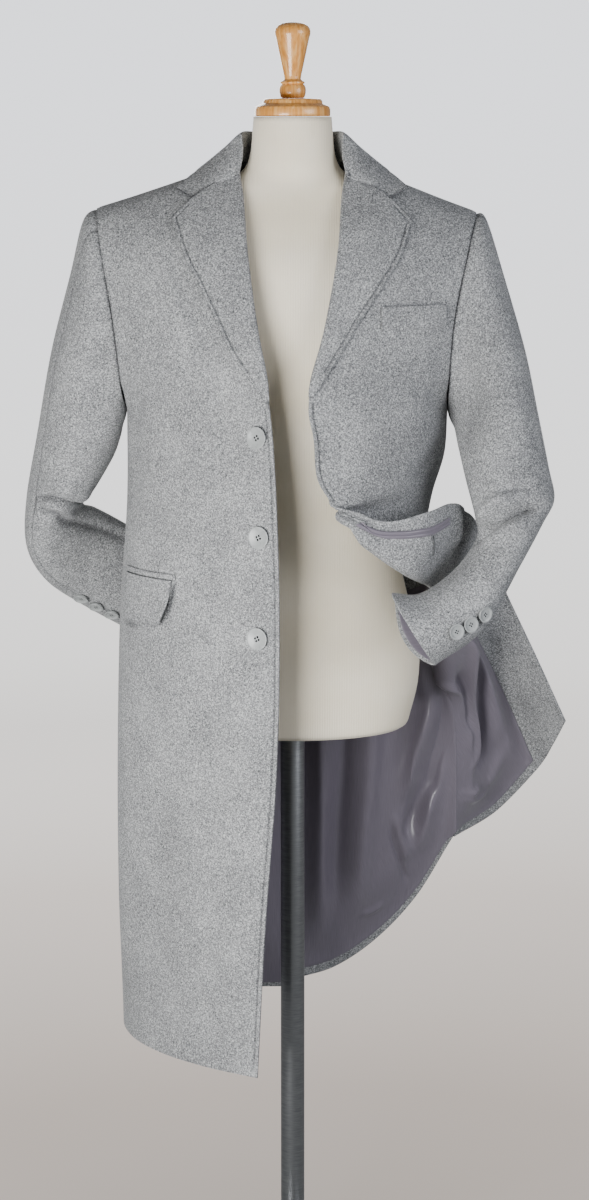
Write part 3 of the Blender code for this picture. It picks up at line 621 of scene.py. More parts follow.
TOP_TRIM = 0.02               # rows left free at the shoulder seam
EDGE_LINES = (0, 0.002, 0.005, 0.009, 0.013, 0.016, 0.018, 0.020, 0.022, 0.024, 0.026, 0.029, 0.032, 0.037)
front_us = np.concatenate((EDGE_LINES, lines(0.042, 1, 112)))
back_us = lines(0, 1, 64)
right_vs = lines(TOP_TRIM, LAST_ROW[RIGHT], 240)
left_front_vs = lines(TOP_TRIM, LAST_ROW[LEFT], 260)
left_back_vs = lines(TOP_TRIM, LAST_ROW[LEFT], 180)
front_cloth = {
    RIGHT: Cloth(front_us, right_vs, front[RIGHT].grid(front_us, right_vs), 1),
    LEFT: Cloth(front_us, left_front_vs, front[LEFT].grid(front_us, left_front_vs), -1),
}
# The turned leaf's tip moves across by these, a quarter row apart, and less at its free edge where outwards
LEAF_TIP = (0, -0.002, -0.0085, -0.002, 0.0140, 0.0105, 0.0020, 0)
LEAF_ROW = 6.2
LEAF_STEP = 0.25
LEAF_EDGE_SHARE = 0.45
LEAF_FOLD = 0.4               # place across of its fold
LEAF_END = 0.75               # past this nothing moves
LEAF_FADE = 0.2
tip_rows = np.clip((left_front_vs - LEAF_ROW) / LEAF_STEP, 0, len(LEAF_TIP) - 1)
tip_shift = curve(np.array(LEAF_TIP)[:, None], tip_rows)
at_edge = LEAF_EDGE_SHARE + (1 - LEAF_EDGE_SHARE) * eased(np.clip(front_us / LEAF_FOLD, 0, 1))
tip_share = np.where(tip_shift > 0, at_edge, 1) * np.clip((LEAF_END - front_us) / LEAF_FADE, 0, 1)
front_cloth[LEFT].points[..., 0] += tip_shift * tip_share
front_cloth[LEFT].measure()
back_cloth = {
    RIGHT: Cloth(back_us, right_vs[::2], back[RIGHT].grid(back_us, right_vs[::2]), -1),
    LEFT: Cloth(back_us, left_back_vs, back[LEFT].grid(back_us, left_back_vs), 1),
}
front_cloth[RIGHT].press((
    Fold(((0.50, 6.8), (0.53, 7.8), (0.50, 9.0)), 0.040, -0.007),
    Fold(((0.14, 6.4), (0.12, 7.6), (0.14, 9.0)), 0.030, 0.004),
    Fold(((0.80, 6.2), (0.84, 7.5), (0.82, 9.0)), 0.028, 0.004),
    Fold(((0.86, 3.2), (0.78, 4.2), (0.80, 5.4)), 0.022, -0.004),
    Fold(((0.30, 3.6), (0.22, 4.3), (0.10, 4.9)), 0.020, -0.003),
    Fold(((0.49, 1.3), (0.47, 1.8), (0.38, 2.4), (0.26, 3.0), (0.15, 3.6)), 0.010, -0.004),
))
front_cloth[LEFT].press((
    Fold(((0.90, 4.4), (0.72, 5.2), (0.46, 5.9)), 0.018, -0.005),
    Fold(((0.55, 5.2), (0.40, 5.7), (0.24, 5.9)), 0.014, 0.003),
    Fold(((0.84, 2.9), (0.80, 3.8), (0.84, 4.6)), 0.020, -0.004),
    Fold(((0.00, 9.92), (0.10, 10.08), (0.22, 10.16), (0.34, 10.2)), 0.009, -0.008, 1.3, 0.30),
    Fold(((0.00, 10.35), (0.10, 10.45), (0.22, 10.5), (0.34, 10.5)), 0.014, 0.010, 2.0, 0.30),
    Fold(((0.123, 3.09), (0.130, 4.1), (0.143, 5.13)), 0.0018, -0.0012),
    Fold(((0.606, 2.91), (0.575, 3.8), (0.535, 4.77)), 0.0018, -0.0010),
))
back_cloth[RIGHT].press((
    Fold(((0.30, 5.4), (0.34, 7.0), (0.33, 9.0)), 0.034, -0.007),
    Fold(((0.62, 5.2), (0.66, 7.0), (0.64, 9.0)), 0.030, 0.006),
    Fold(((0.75, 3.0), (0.62, 4.0), (0.55, 5.2)), 0.022, -0.005),
))
back_cloth[LEFT].press((
    Fold(((0.30, 7.0), (0.36, 10.5), (0.42, 15.0)), 0.034, -0.008),
    Fold(((0.60, 6.5), (0.66, 10.5), (0.72, 15.0)), 0.030, 0.007),
    Fold(((0.75, 3.0), (0.60, 4.2), (0.52, 5.6)), 0.022, -0.005),
))
# Little light reaches the chest in the notch, between collar and lapel, nor the front beside and below
# the pocket flap: flat lines of shade, with no depth.
NOTCH = Fold(((0.28, 0.71), (0.302, 0.67), (0.361, 0.50), (0.42, 0.29)), 0.0045, 0, 1.5, 0.15)
NOTCH_SHADE = 0.42
FLAP_SIDE = Fold(((0.474, 5.64), (0.487, 5.76), (0.503, 5.86), (0.526, 5.95)), 0.0036, 0, 2.0, 0.25)
FLAP_SIDE_SHADE = 0.55
FLAP_HEM = Fold(((0.526, 5.97), (0.60, 6.00), (0.70, 6.02), (0.874, 6.05)), 0.0022, 0, 2.0, 0.10)
FLAP_HEM_SHADE = 0.30
front_cloth[RIGHT].press([FLAP_SIDE], FLAP_SIDE_SHADE)
front_cloth[RIGHT].press([FLAP_HEM], FLAP_HEM_SHADE)
for side in (RIGHT, LEFT):
    front_cloth[side].press([NOTCH], NOTCH_SHADE)
SEAM_DIP = 0.0009
SEAM_REACH = 0.0035
STITCH_IN = 0.006             # from an edge to its line of stitches
STITCH_WIDTH = 0.0012
STITCH_DEPTH = 0.0014
STITCH_SHADE = 0.28
STITCH_FADE = 0.02
TURN_OVER_ROW = 6.6           # where the left front's outside turns out of sight


def stitched(cloth, edge, first, last, count=24):
    """A line of stitches that pulls the cloth in along one edge, with painted shade along it."""
    path = cloth.inset(edge, STITCH_IN, first, last, count)
    cloth.press([Fold(path, STITCH_WIDTH, -STITCH_DEPTH, 2.0, STITCH_FADE)], STITCH_SHADE)


stitched(front_cloth[RIGHT], "start", ARMPIT, LAST_ROW[RIGHT] - 0.02)
stitched(front_cloth[LEFT], "start", ARMPIT, TURN_OVER_ROW)
for side, word in SIDES:
    for cloth in (front_cloth[side], back_cloth[side]):
        above_crease = np.clip(SIDE_CREASE_ROW - 1 - cloth.vs, 0, 1)[:, None] if side == LEFT else 1.0
        # The side seams dip, with painted shade along them.
        cloth.sink("end", SEAM_DIP, SEAM_REACH, above_crease)
    sew("front_" + word, front_cloth[side], WOOL_WALL, wool)
    sew("back_" + word, back_cloth[side], WOOL_WALL, wool)

# Sleeves: a top and an under piece each, set into the armhole, with seams at the hind and fore arm.
# The right one bends behind the back, and the left one forward, where its open cuff shows its lining.
Ring = namedtuple("Ring", "outer inner front back")
SLEEVE_RINGS = {
    RIGHT: (
        Ring((-0.2515, 0.005, 1.483), (-0.216, 0.008, 1.222), 0.070, 0.088),
        Ring((-0.270, 0.004, 1.466), (-0.218, 0.010, 1.212), 0.073, 0.086),
        Ring((-0.287, 0.006, 1.400), (-0.222, 0.014, 1.200), 0.075, 0.083),
        Ring((-0.314, 0.015, 1.300), (-0.226, 0.022, 1.184), 0.074, 0.078),
        Ring((-0.335, 0.030, 1.195), (-0.237, 0.038, 1.156), 0.070, 0.072),
        Ring((-0.353, 0.045, 1.100), (-0.264, 0.062, 1.112), 0.064, 0.066),
        Ring((-0.357, 0.070, 1.032), (-0.281, 0.085, 1.088), 0.060, 0.062),
        Ring((-0.336, 0.100, 0.982), (-0.268, 0.112, 1.078), 0.056, 0.058),
        Ring((-0.292, 0.140, 0.941), (-0.238, 0.150, 1.055), 0.052, 0.054),
        Ring((-0.212, 0.186, 0.886), (-0.172, 0.206, 1.006), 0.046, 0.048),
    ),
    LEFT: (
        Ring((0.2365, 0.005, 1.478), (0.202, 0.008, 1.222), 0.070, 0.088),
        Ring((0.250, 0.000, 1.467), (0.204, 0.006, 1.213), 0.072, 0.086),
        Ring((0.272, -0.010, 1.398), (0.207, -0.002, 1.206), 0.073, 0.082),
        Ring((0.299, -0.035, 1.303), (0.210, -0.022, 1.200), 0.070, 0.074),
        Ring((0.314, -0.065, 1.225), (0.213, -0.050, 1.182), 0.064, 0.064),
        Ring((0.326, -0.095, 1.160), (0.221, -0.084, 1.143), 0.056, 0.056),
        Ring((0.332, -0.115, 1.122), (0.232, -0.112, 1.095), 0.051, 0.049),
        Ring((0.318, -0.122, 1.093), (0.230, -0.122, 1.066), 0.049, 0.045),
        Ring((0.289, -0.138, 1.044), (0.203, -0.146, 1.032), 0.048, 0.045),
        Ring((0.240, -0.165, 0.964), (0.160, -0.172, 1.008), 0.047, 0.046),
        Ring((0.179, -0.185, 0.922), (0.124, -0.195, 1.013), 0.046, 0.046),
    ),
}
ROUND = 16                    # places round a sleeve, from the outer line over the front
ARMHOLE_DIP = 0.0027
ARMHOLE_REACH = 0.0035
ARMHOLE_SHADE = 0.40
ARMHOLE_SPREAD = 0.75         # how far round from its top the armhole's seam dips
HEAD_RINGS = 1.5              # rings in which the sleeve leaves the armhole's line
SLEEVE_ROWS = ((0, 0.1, 12), (0.13, 4.3, 52), (4.33, 6.8, 94))    # first, last, count: close at the elbow
CUFF_ROWS = (6.85, 36)
SLEEVE_SEAMS = {RIGHT: (1.5, 9.5), LEFT: (0.5, 9.5)}
SEAM_ANGLE = 0.012            # half a seam, in places round the sleeve


def sleeve_grid(side, ks, ts):
    """Points of a sleeve at places ks round it and rings ts down it. Its top keeps to the armhole."""
    table = SLEEVE_RINGS[side]
    outer, inner = (curve([getattr(ring, name) for ring in table], ts) for name in ("outer", "inner"))
    ahead, behind = (curve([[getattr(ring, name)] for ring in table], ts) for name in ("front", "back"))
    half = (outer - inner) / 2
    axis = half / np.linalg.norm(half, axis=1, keepdims=True)
    forward = np.array((0, -1, 0)) + axis * axis[:, 1:2]
    forward = forward / np.linalg.norm(forward, axis=1, keepdims=True)
    angle = 2 * math.pi * ks / ROUND
    depth = np.where(np.sin(angle) > 0, ahead, behind) * np.sin(angle)
    ring = ((outer + inner) / 2)[:, None] + half[:, None] * np.cos(angle)[None, :, None]
    return ring + forward[:, None] * depth[..., None]


def sleeve_cloth(side, ks, ts):
    """A whole sleeve, its first ring moved on to the edges of the two panels."""
    turn = ks % ROUND
    row = 2 * ARMPIT * np.minimum(turn, ROUND - turn) / ROUND
    over_front = (turn <= ROUND / 2)[:, None]
    hole = np.where(over_front, front[side].columns_at(row)[4], back[side].columns_at(row)[4])
    fade = np.clip(1 - ts / HEAD_RINGS, 0, 1) ** 2
    shift = hole - sleeve_grid(side, ks, np.zeros(1))[0]
    points = sleeve_grid(side, ks, ts) + fade[:, None, None] * shift[None]
    return Cloth(ks, ts, points, side)


CUFF_FAR_RIM = (-0.0200, -0.0030, -0.0080)   # the left cuff's far side reaches further
CUFF_TILT = 0.45              # most of all towards its lower corner

# Folds by place round the sleeve and ring: the elbow's deep creases, then soft drags above and below
SLEEVE_FOLDS = {
    RIGHT: (
        Fold(((7.0, 5.75), (5.8, 5.45), (3.7, 5.06), (2.6, 4.97), (1.6, 5.00)), 0.0034, -0.007, 1.6, 0.14),
        Fold(((1.6, 5.16), (2.4, 5.26), (3.9, 5.55), (5.0, 6.3), (5.84, 7.4), (6.22, 8.04), (6.6, 8.6)),
             0.0080, -0.005, 1.7, 0.14),
        Fold(((1.9, 5.08), (2.6, 5.12), (3.8, 5.30), (4.6, 5.6), (5.3, 5.95), (6.2, 6.6)), 0.008, 0.006),
        Fold(((1.8, 4.62), (3.6, 4.74), (5.2, 5.02), (6.8, 5.25)), 0.013, 0.008),
        Fold(((3.97, 0.9), (4.7, 2.2), (5.4, 3.6)), 0.022, -0.006),
        Fold(((3.0, 6.4), (3.6, 7.3), (4.1, 8.4)), 0.018, -0.004),
        Fold(((13.4, 5.2), (12.2, 5.5), (11.0, 5.8), (10.0, 6.0)), 0.012, -0.006),
        Fold(((13.6, 1.2), (13.0, 2.6), (12.6, 3.8)), 0.024, -0.005),
    ),
    LEFT: (
        Fold(((8.9, 7.0), (7.6, 6.6), (6.17, 6.23), (5.07, 6.0), (4.24, 5.88), (3.1, 5.88), (1.2, 6.05)),
             0.0080, -0.026, 1.3, 0.20),
        Fold(((7.4, 6.1), (6.0, 5.72), (4.8, 5.5), (3.4, 5.5)), 0.010, 0.009),
        Fold(((4.9, 5.30), (3.6, 5.24), (2.1, 5.35)), 0.0055, -0.005, 1.5),
        Fold(((7.2, 7.1), (5.6, 6.62), (4.2, 6.45), (2.6, 6.5)), 0.011, 0.007),
        Fold(((4.9, 1.0), (5.3, 2.6), (5.7, 4.4)), 0.022, -0.006),
        Fold(((2.8, 2.0), (2.7, 3.4), (2.4, 4.6)), 0.024, 0.004),
        Fold(((4.6, 7.2), (4.2, 8.2), (4.0, 9.2)), 0.018, -0.004),
        Fold(((13.6, 5.6), (12.4, 5.9), (11.2, 6.2)), 0.012, -0.006),
        Fold(((13.4, 1.2), (13.0, 2.6), (12.6, 4.0)), 0.024, -0.005),
    ),
}
# The elbow's bend lies on itself there, with little light between
ELBOW_LINES = {
    RIGHT: (
        Fold(((5.9, 5.47), (3.7, 5.06), (2.6, 4.97), (1.7, 4.99), (1.35, 5.08), (1.7, 5.17), (2.4, 5.26),
              (3.9, 5.55), (5.0, 6.3), (5.84, 7.4), (6.22, 8.04)), 0.0046, -0.001, 1.5, 0.10),
    ),
    LEFT: (
        Fold(((6.17, 6.23), (5.07, 6.0), (4.24, 5.88), (3.1, 5.88), (2.2, 5.95)), 0.0032, -0.001, 1.4, 0.20),
    ),
}
ELBOW_SHADE = 0.22
sleeve_whole, sleeve_top = {}, {}
for side, word in SIDES:
    hind, fore = SLEEVE_SEAMS[side]
    cuff_rows = (CUFF_ROWS[0], len(SLEEVE_RINGS[side]) - 1, CUFF_ROWS[1])
    ts = np.concatenate([lines(*part) for part in SLEEVE_ROWS + (cuff_rows,)])
    whole = sleeve_whole[side] = sleeve_cloth(side, lines(hind - 1, hind + ROUND + 1, 190), ts)
    whole.press(SLEEVE_FOLDS[side])
    over_top = np.clip(np.cos(2 * math.pi * whole.us / ROUND)[None, :] + ARMHOLE_SPREAD, 0, 1)
    whole.sink("top", ARMHOLE_DIP, ARMHOLE_REACH, over_top)
    if side == LEFT:
        far = np.sin(2 * math.pi * whole.us / ROUND - CUFF_TILT).clip(-1, 0) ** 2
        near_end = np.clip(ts - (ts[-1] - 1), 0, 1) ** 2
        whole.points += np.outer(near_end, far)[..., None] * np.array(CUFF_FAR_RIM)
        whole.measure()
    over = sleeve_top[side] = whole.patch(lines(hind + SEAM_ANGLE, fore - SEAM_ANGLE, 78), ts, 0)
    under = whole.patch(lines(fore + SEAM_ANGLE, hind + ROUND - SEAM_ANGLE, 58), ts, 0)
    over.press(ELBOW_LINES[side], ELBOW_SHADE)
    for cloth, part in ((over, "top"), (under, "under")):
        # Painted shade round the armhole, and along both seams as they dip.
        cloth.sink("top", 0, ARMHOLE_REACH, 1.0, ARMHOLE_SHADE)
        cloth.sink("start", SEAM_DIP, SEAM_REACH)
        cloth.sink("end", SEAM_DIP, SEAM_REACH)
        sew("sleeve_%s_%s" % (word, part), cloth, WOOL_WALL, wool)

# Facing and lining: the wool facing behind the left front's edge, and satin lining inside the skirt.
# They are sewn to the panels' edges and follow them, the satin with loose folds of its own.
FACING_TOP = 6.0              # rows of the left front
FACING_SHARE = 0.5            # share of the left front's width
HEM_TURN = 0.14               # rows of wool turned up inside the hem
FACING_WALL = 0.0018
LINING_WALL = 0.0010
INSIDE = -WOOL_WALL - 2 * SEAM
SATIN = "#6C6670"
SATIN_PALE = "#78727C"
THREAD_M = 0.0009             # from thread to thread, drawn coarse enough to show
SLUBS_A_METRE = 40            # along the threads

# Acetate satin: a tight warp-faced weave with broad soft highlights, mauve-grey.
satin = new_material("acetate_satin", Roughness=0.31, Sheen_Weight=0.15, Sheen_Roughness=0.4,
                     Specular_IOR_Level=0.60)
place = add_node(satin, "TexCoord").outputs["UV"]
warp = add_node(satin, "Mapping", {"Scale": (1 / THREAD_M, SLUBS_A_METRE, 1)}, {"Vector": place})
threads = add_node(satin, "TexNoise", {"Scale": 1.0, "Detail": 2.0}, {"Vector": warp})
add_node(satin, "ValToRGB", {"stops": ((0.3, SATIN), (0.7, SATIN_PALE))}, {"Fac": threads}, "Base Color")
add_node(satin, "Bump", {"Strength": 0.06, "Distance": 0.0003}, {"Height": threads}, "Normal")

left_hem = LAST_ROW[LEFT] - HEM_TURN
facing = front_cloth[LEFT].patch(np.concatenate((EDGE_LINES[1:], lines(0.042, FACING_SHARE, 44))),
                                 lines(FACING_TOP, LAST_ROW[LEFT] - 0.01, 150), INSIDE, -1)
stitched(facing, "start", 6.7, LAST_ROW[LEFT] - 0.1, 40)
sew("facing_left", facing, FACING_WALL, wool)
LINING_CLEAR = 0.0006
LINING_EASE = 0.017           # how far the lining hangs off the wool between its seams
LINING_FADE = 0.16            # share of its width and length in which it comes off its seams


def lining(panel, us, vs, folds):
    """A lining that hangs off the wool between its seams, with folds of its own."""
    ramps = [np.clip(np.minimum(line - line[0], line[-1] - line) / (line[-1] - line[0]) / LINING_FADE, 0, 1)
             for line in (us, vs)]
    off = np.outer(*(eased(ramp) for ramp in reversed(ramps)))
    cloth = panel.patch(us, vs, INSIDE - LINING_EASE * off, -1)
    cloth.press(folds)
    base = panel.patch(us, vs, INSIDE, -1)
    clear = np.maximum(((cloth.points - base.points) * base.normals).sum(axis=2), LINING_CLEAR)
    cloth.points = base.points + base.normals * clear[..., None]
    cloth.measure()
    return cloth


lining_front = lining(front_cloth[LEFT], lines(FACING_SHARE + 0.002, 0.998, 90),
                      lines(11, left_hem, 130), (
    Fold(((0.560, 11.9), (0.593, 12.25), (0.752, 12.93), (0.850, 13.61), (0.948, 13.99)), 0.008, 0.012),
    Fold(((0.530, 12.2), (0.637, 13.16), (0.735, 13.61), (0.886, 14.07)), 0.008, -0.012),
    Fold(((0.531, 12.86), (0.584, 13.61), (0.640, 14.1)), 0.012, 0.006),
    Fold(((0.700, 12.0), (0.859, 12.67), (0.960, 13.3)), 0.009, -0.012),
    Fold(((0.900, 11.8), (0.935, 12.8), (0.950, 13.9)), 0.008, 0.008),
    Fold(((0.992, 14.30), (0.903, 14.46), (0.780, 14.50)), 0.005, 0.005),
    Fold(((0.985, 14.15), (0.930, 14.30), (0.860, 14.20)), 0.006, 0.005),
    Fold(((0.620, 14.2), (0.700, 14.35), (0.800, 14.30)), 0.010, 0.003),
))
lining_back_left = lining(back_cloth[LEFT], lines(0.002, 0.998, 110), lines(8.5, left_hem, 140), (
    Fold(((0.975, 11.2), (0.898, 12.11), (0.788, 12.46), (0.678, 12.69), (0.590, 13.0)), 0.012, 0.019),
    Fold(((0.960, 12.3), (0.835, 13.20), (0.725, 13.43), (0.600, 13.7)), 0.011, -0.013),
    Fold(((0.990, 11.8), (0.930, 12.7), (0.870, 13.3), (0.900, 14.1)), 0.010, -0.013),
    Fold(((0.940, 13.4), (0.830, 13.95), (0.740, 14.3)), 0.010, 0.008),
    Fold(((0.506, 12.86), (0.569, 13.60), (0.631, 14.23), (0.678, 14.64)), 0.0045, -0.006),
    Fold(((0.545, 12.9), (0.610, 13.60), (0.670, 14.20)), 0.008, 0.006),
    Fold(((0.360, 14.30), (0.440, 14.42), (0.540, 14.48)), 0.005, 0.005),
    Fold(((0.420, 9.0), (0.440, 11.0), (0.380, 13.0), (0.330, 14.6)), 0.014, 0.012),
    Fold(((0.300, 9.0), (0.310, 11.0), (0.250, 13.0), (0.220, 14.6)), 0.013, -0.011),
    Fold(((0.160, 8.8), (0.170, 11.0), (0.130, 13.0), (0.120, 14.6)), 0.014, 0.010),
    Fold(((0.620, 9.0), (0.600, 10.5), (0.520, 12.0)), 0.013, -0.011),
    Fold(((0.760, 9.0), (0.740, 10.2), (0.660, 11.6)), 0.012, 0.010),
))
lining_back_right = lining(back_cloth[RIGHT], lines(0.002, 0.998, 70),
                           lines(6, LAST_ROW[RIGHT] - HEM_TURN / 2, 100), (
    Fold(((0.120, 6.2), (0.140, 7.4), (0.110, 8.8)), 0.014, 0.008),
    Fold(((0.260, 6.2), (0.300, 7.4), (0.270, 8.8)), 0.013, -0.007),
    Fold(((0.450, 6.2), (0.480, 7.4), (0.450, 8.8)), 0.015, 0.008),
    Fold(((0.680, 6.2), (0.700, 7.4), (0.680, 8.8)), 0.014, -0.007),
))
JOIN_REACH = 0.014
JOIN_ROW = 11                 # from here the front's and back's linings come together
JOIN_ROWS = 0.6               # over this part of a row
SIDE_SEAM_STANDOFF = 0.004    # keeps their seam clear of the wool's sharp fold


def at_rows(vs, known, line):
    """A line of points that is known at some rows, at rows vs."""
    return np.stack([np.interp(vs, known, line[:, axis]) for axis in range(3)], axis=1)


pair, seam_vs = (lining_front, lining_back_left), lining_front.vs
side_seam = sum(at_rows(seam_vs, cloth.vs, cloth.points[:, -1]) for cloth in pair) / 2
inwards = sum(at_rows(seam_vs, cloth.vs, cloth.normals[:, -1]) for cloth in pair)
side_seam = side_seam + inwards * SIDE_SEAM_STANDOFF
for cloth in pair:
    shift = at_rows(cloth.vs, seam_vs, side_seam) - cloth.points[:, -1]
    shift = shift * np.clip((cloth.vs - JOIN_ROW) / JOIN_ROWS, 0, 1)[:, None]
    hold = np.exp(-((cloth.across[:, -1:] - cloth.across) / JOIN_REACH) ** 2)
    cloth.points += hold[..., None] * shift[:, None]
    cloth.measure()
for name, cloth in (("lining_front_left", lining_front), ("lining_back_left", lining_back_left),
                    ("lining_back_right", lining_back_right)):
    sew(name, cloth, LINING_WALL, satin)
CUFF_LINING = (9.40, 9.955)   # rings that it reaches from and to, just inside the cuff
cuff_lining = sleeve_whole[LEFT].patch(lines(0, ROUND, 96), lines(*CUFF_LINING, 16), INSIDE, -1)
sew("cuff_lining_left", cuff_lining, LINING_WALL, satin)

# Collar: one strip of wool round the neck, its stand hidden under its fall.
# Its ends meet the lapels at the gorge, and leave the open notch beyond it.
# A row is its seam, its roll, the middle of its fall and its edge, from the nape round to its end.
COLLAR_HALF = (
    ((0.000, 0.0700, 1.527), (0.000, 0.066, 1.572), (0.000, 0.088, 1.550), (0.000, 0.106, 1.506)),
    ((0.046, 0.0500, 1.535), (0.044, 0.047, 1.578), (0.060, 0.065, 1.556), (0.074, 0.083, 1.512)),
    ((0.0695, -0.001, 1.543), (0.064, 0.000, 1.578), (0.086, 0.010, 1.560), (0.112, 0.016, 1.534)),
    ((0.0690, -0.012, 1.532), (0.0640, -0.010, 1.563), (0.092, -0.012, 1.546), (0.1275, 0.001, 1.527)),
    ((0.0670, -0.026, 1.517), (0.0680, -0.035, 1.524), (0.113, -0.048, 1.497), (0.1475, -0.0240, 1.5105)),
)
collar_half = np.array(COLLAR_HALF)
collar_net = np.concatenate((collar_half[:0:-1] * (-1, 1, 1), collar_half))
collar_us, collar_vs = lines(0, len(collar_net) - 1, 130), lines(0, 3, 44)
collar_rows = curve(collar_net, collar_us)
collar_points = curve(collar_rows.transpose(1, 0, 2), collar_vs)
collar_cloth = Cloth(collar_us, collar_vs, collar_points, 1)
COLLAR_DIP = 0.0070           # its ends go down under the lapels
COLLAR_REACH = 0.014
COLLAR_SHADE = 0.30
FALL_ROW, FALL_ROWS = 2.3, 0.4          # beyond here, over these rows, the fall lies free on top
ROLL_ROW, ROLL_ROWS = 1, 0.35           # the roll itself keeps most of its height
ROLL_KEEPS = 0.6
at_roll = np.exp(-((collar_vs - ROLL_ROW) / ROLL_ROWS) ** 2)
sewn_in = (np.clip((FALL_ROW - collar_vs) / FALL_ROWS, 0, 1) * (1 - ROLL_KEEPS * at_roll))[:, None]
# Its ends dip under the lapels, and a line of shade is painted along each end.
for edge in ("start", "end"):
    collar_cloth.sink(edge, COLLAR_DIP, COLLAR_REACH, sewn_in)
    collar_cloth.sink(edge, 0, STITCH_IN, 1.0, COLLAR_SHADE)
sew("collar", collar_cloth, WOOL_WALL, wool)

# Lapels: the tops of the fronts rolled over and pressed back on the chest, faced with the same wool.
# Each rolls round the front's edge and runs to a point beside the notch.
LAPEL_TOP = ((0.0, 0.7, 1.0), (0.38, 0.76, 0.98))      # shares across, and their rows
LAPEL_WIDTHS = {
    RIGHT: (0.475, 0.410, 0.302, 0.202, 0.124, 0.016),
    LEFT: (0.53, 0.460, 0.320, 0.176, 0.085, 0.016),
}
LAPEL_ACROSS = ((0, 0.84, 40), (0.85, 1, 26))          # first, last and count of its lines
LAPEL_DOWN = ((0, 0.045, 14), (0.052, 1, 96))
LAPEL_LIFT = 0.0035           # most that it stands off the chest, less towards its lower end
LAPEL_SWELL = (0.04, 0.78)    # where across its swell starts, and how much of the swell it takes up
LAPEL_FLATTER = 0.6
LAPEL_TUCK = 0.0034           # its lower end sinks into the front's edge
LAPEL_TUCK_FROM = 0.86
LAPEL_TOP_SHADE = 0.30
LAPEL_EDGE_SHADE = 0.20
ROLL_LINES = 7
ROLL_TURN = 150               # degrees that it rolls round the edge
EDGE_STEP = 0.02
for side, word in SIDES:
    shares, downs = np.meshgrid(*(np.concatenate([lines(*part) for part in parts])
                                  for parts in (LAPEL_ACROSS, LAPEL_DOWN)))
    widths = curve(np.array(LAPEL_WIDTHS[side])[:, None], downs * (len(LAPEL_WIDTHS[side]) - 1))[..., 0]
    rows = (1 - downs) * np.interp(shares, *LAPEL_TOP) + downs * (ARMPIT - 0.02)
    start, span = LAPEL_SWELL
    swell = np.sin(math.pi * np.minimum(1, start + span * shares)) * (1 - LAPEL_FLATTER * downs)
    tuck = LAPEL_TUCK * np.clip((downs - LAPEL_TUCK_FROM) / (1 - LAPEL_TUCK_FROM), 0, 1) ** 2
    lift = WOOL_WALL + 2 * SEAM + LAPEL_LIFT * swell - tuck
    flat = front_cloth[side].at(shares * widths, rows, lift)
    edge, inner = (front_cloth[side].at(u, rows[:, 0]) for u in (0, EDGE_STEP))
    outwards = (edge - inner) / np.linalg.norm(edge - inner, axis=1, keepdims=True)
    upwards = flat[:, 0] - edge
    upwards = upwards / np.linalg.norm(upwards, axis=1, keepdims=True)
    middle = edge - upwards * WOOL_WALL / 2
    radius = lift[:, :1] + WOOL_WALL / 2
    roll = [middle + radius * (upwards * math.cos(turn) + outwards * math.sin(turn))
            for turn in np.radians(lines(ROLL_TURN, ROLL_TURN / ROLL_LINES, ROLL_LINES))]
    points = np.concatenate((np.array(roll).transpose(1, 0, 2), flat), axis=1)
    lapel_us = np.concatenate((lines(-0.12, -0.02, ROLL_LINES), shares[0]))
    lapel = Cloth(lapel_us, downs[:, 0], points, -side)
    stitched(lapel, "end", 0.02, 0.88)
    stitched(lapel, "top", 0.72, 0.95, 10)
    # Painted shade along its top and its outer edge.
    lapel.sink("top", 0, STITCH_IN, 1.0, LAPEL_TOP_SHADE)
    lapel.sink("end", 0, STITCH_IN, 1.0, LAPEL_EDGE_SHADE)
    sew("lapel_" + word, lapel, WOOL_WALL, wool)

# Pockets: a flap with its jet at the right hip, a welt at the left breast, and a jetted pocket inside.
# Flap and welt are wool, doubled and pressed, and the inner jets are of the lining satin.
FLAP = (-0.153, -0.214, 1.014, 0.956)   # x from and to, z from and to, seen from the front
JET = (-0.149, -0.214, 1.022, 1.0155)
WELT = (0.111, 0.194, 1.364, 1.334)
FLAP_CORNER = 0.009
FLAP_SLANT = 0.011            # its front edge leans back towards the side
FLAP_KICK = 0.0100            # its lower front corner stands off the front
HIND_KICK = 0.3               # and its lower hind corner by this share of that
INNER_JET_LINE = ((0.319, 7.27), (0.234, 7.63), (0.170, 8.23), (0.149, 8.72), (0.127, 9.68))
INNER_JET_HALF = 0.0055
INNER_JET_MOST = 0.12         # its half width at most, as a share of the front's width
JET_CLEAR = 0.0006
JET_SWELL = 0.0014
FLAP_WALL = 0.0042            # two layers


def applied(name, panel, place, wall, counts, corner=0.0, slant=0.0, kick=0.0):
    """A piece laid on a front between two x and two z places. Kick lifts its lower front corner."""
    x_in, x_out, z_top, z_low = place
    shares, drops = lines(0, 1, counts[0]), lines(0, 1, counts[1])
    inside = np.maximum(corner - shares * abs(x_out - x_in), 0)
    low = z_low + corner - np.sqrt(corner ** 2 - inside ** 2)
    xs = x_in + (x_out - x_in) * shares - slant * np.outer(drops, 1 - shares)
    zs = z_top + drops[:, None] * (low - z_top)
    lift = wall + 2 * SEAM + kick * np.outer(drops ** 2, HIND_KICK + (1 - HIND_KICK) * (1 - shares) ** 3)
    points = panel.at(*panel.locate(xs, zs), lift)
    sew(name, Cloth(shares, drops, points, panel.outward), wall, wool)


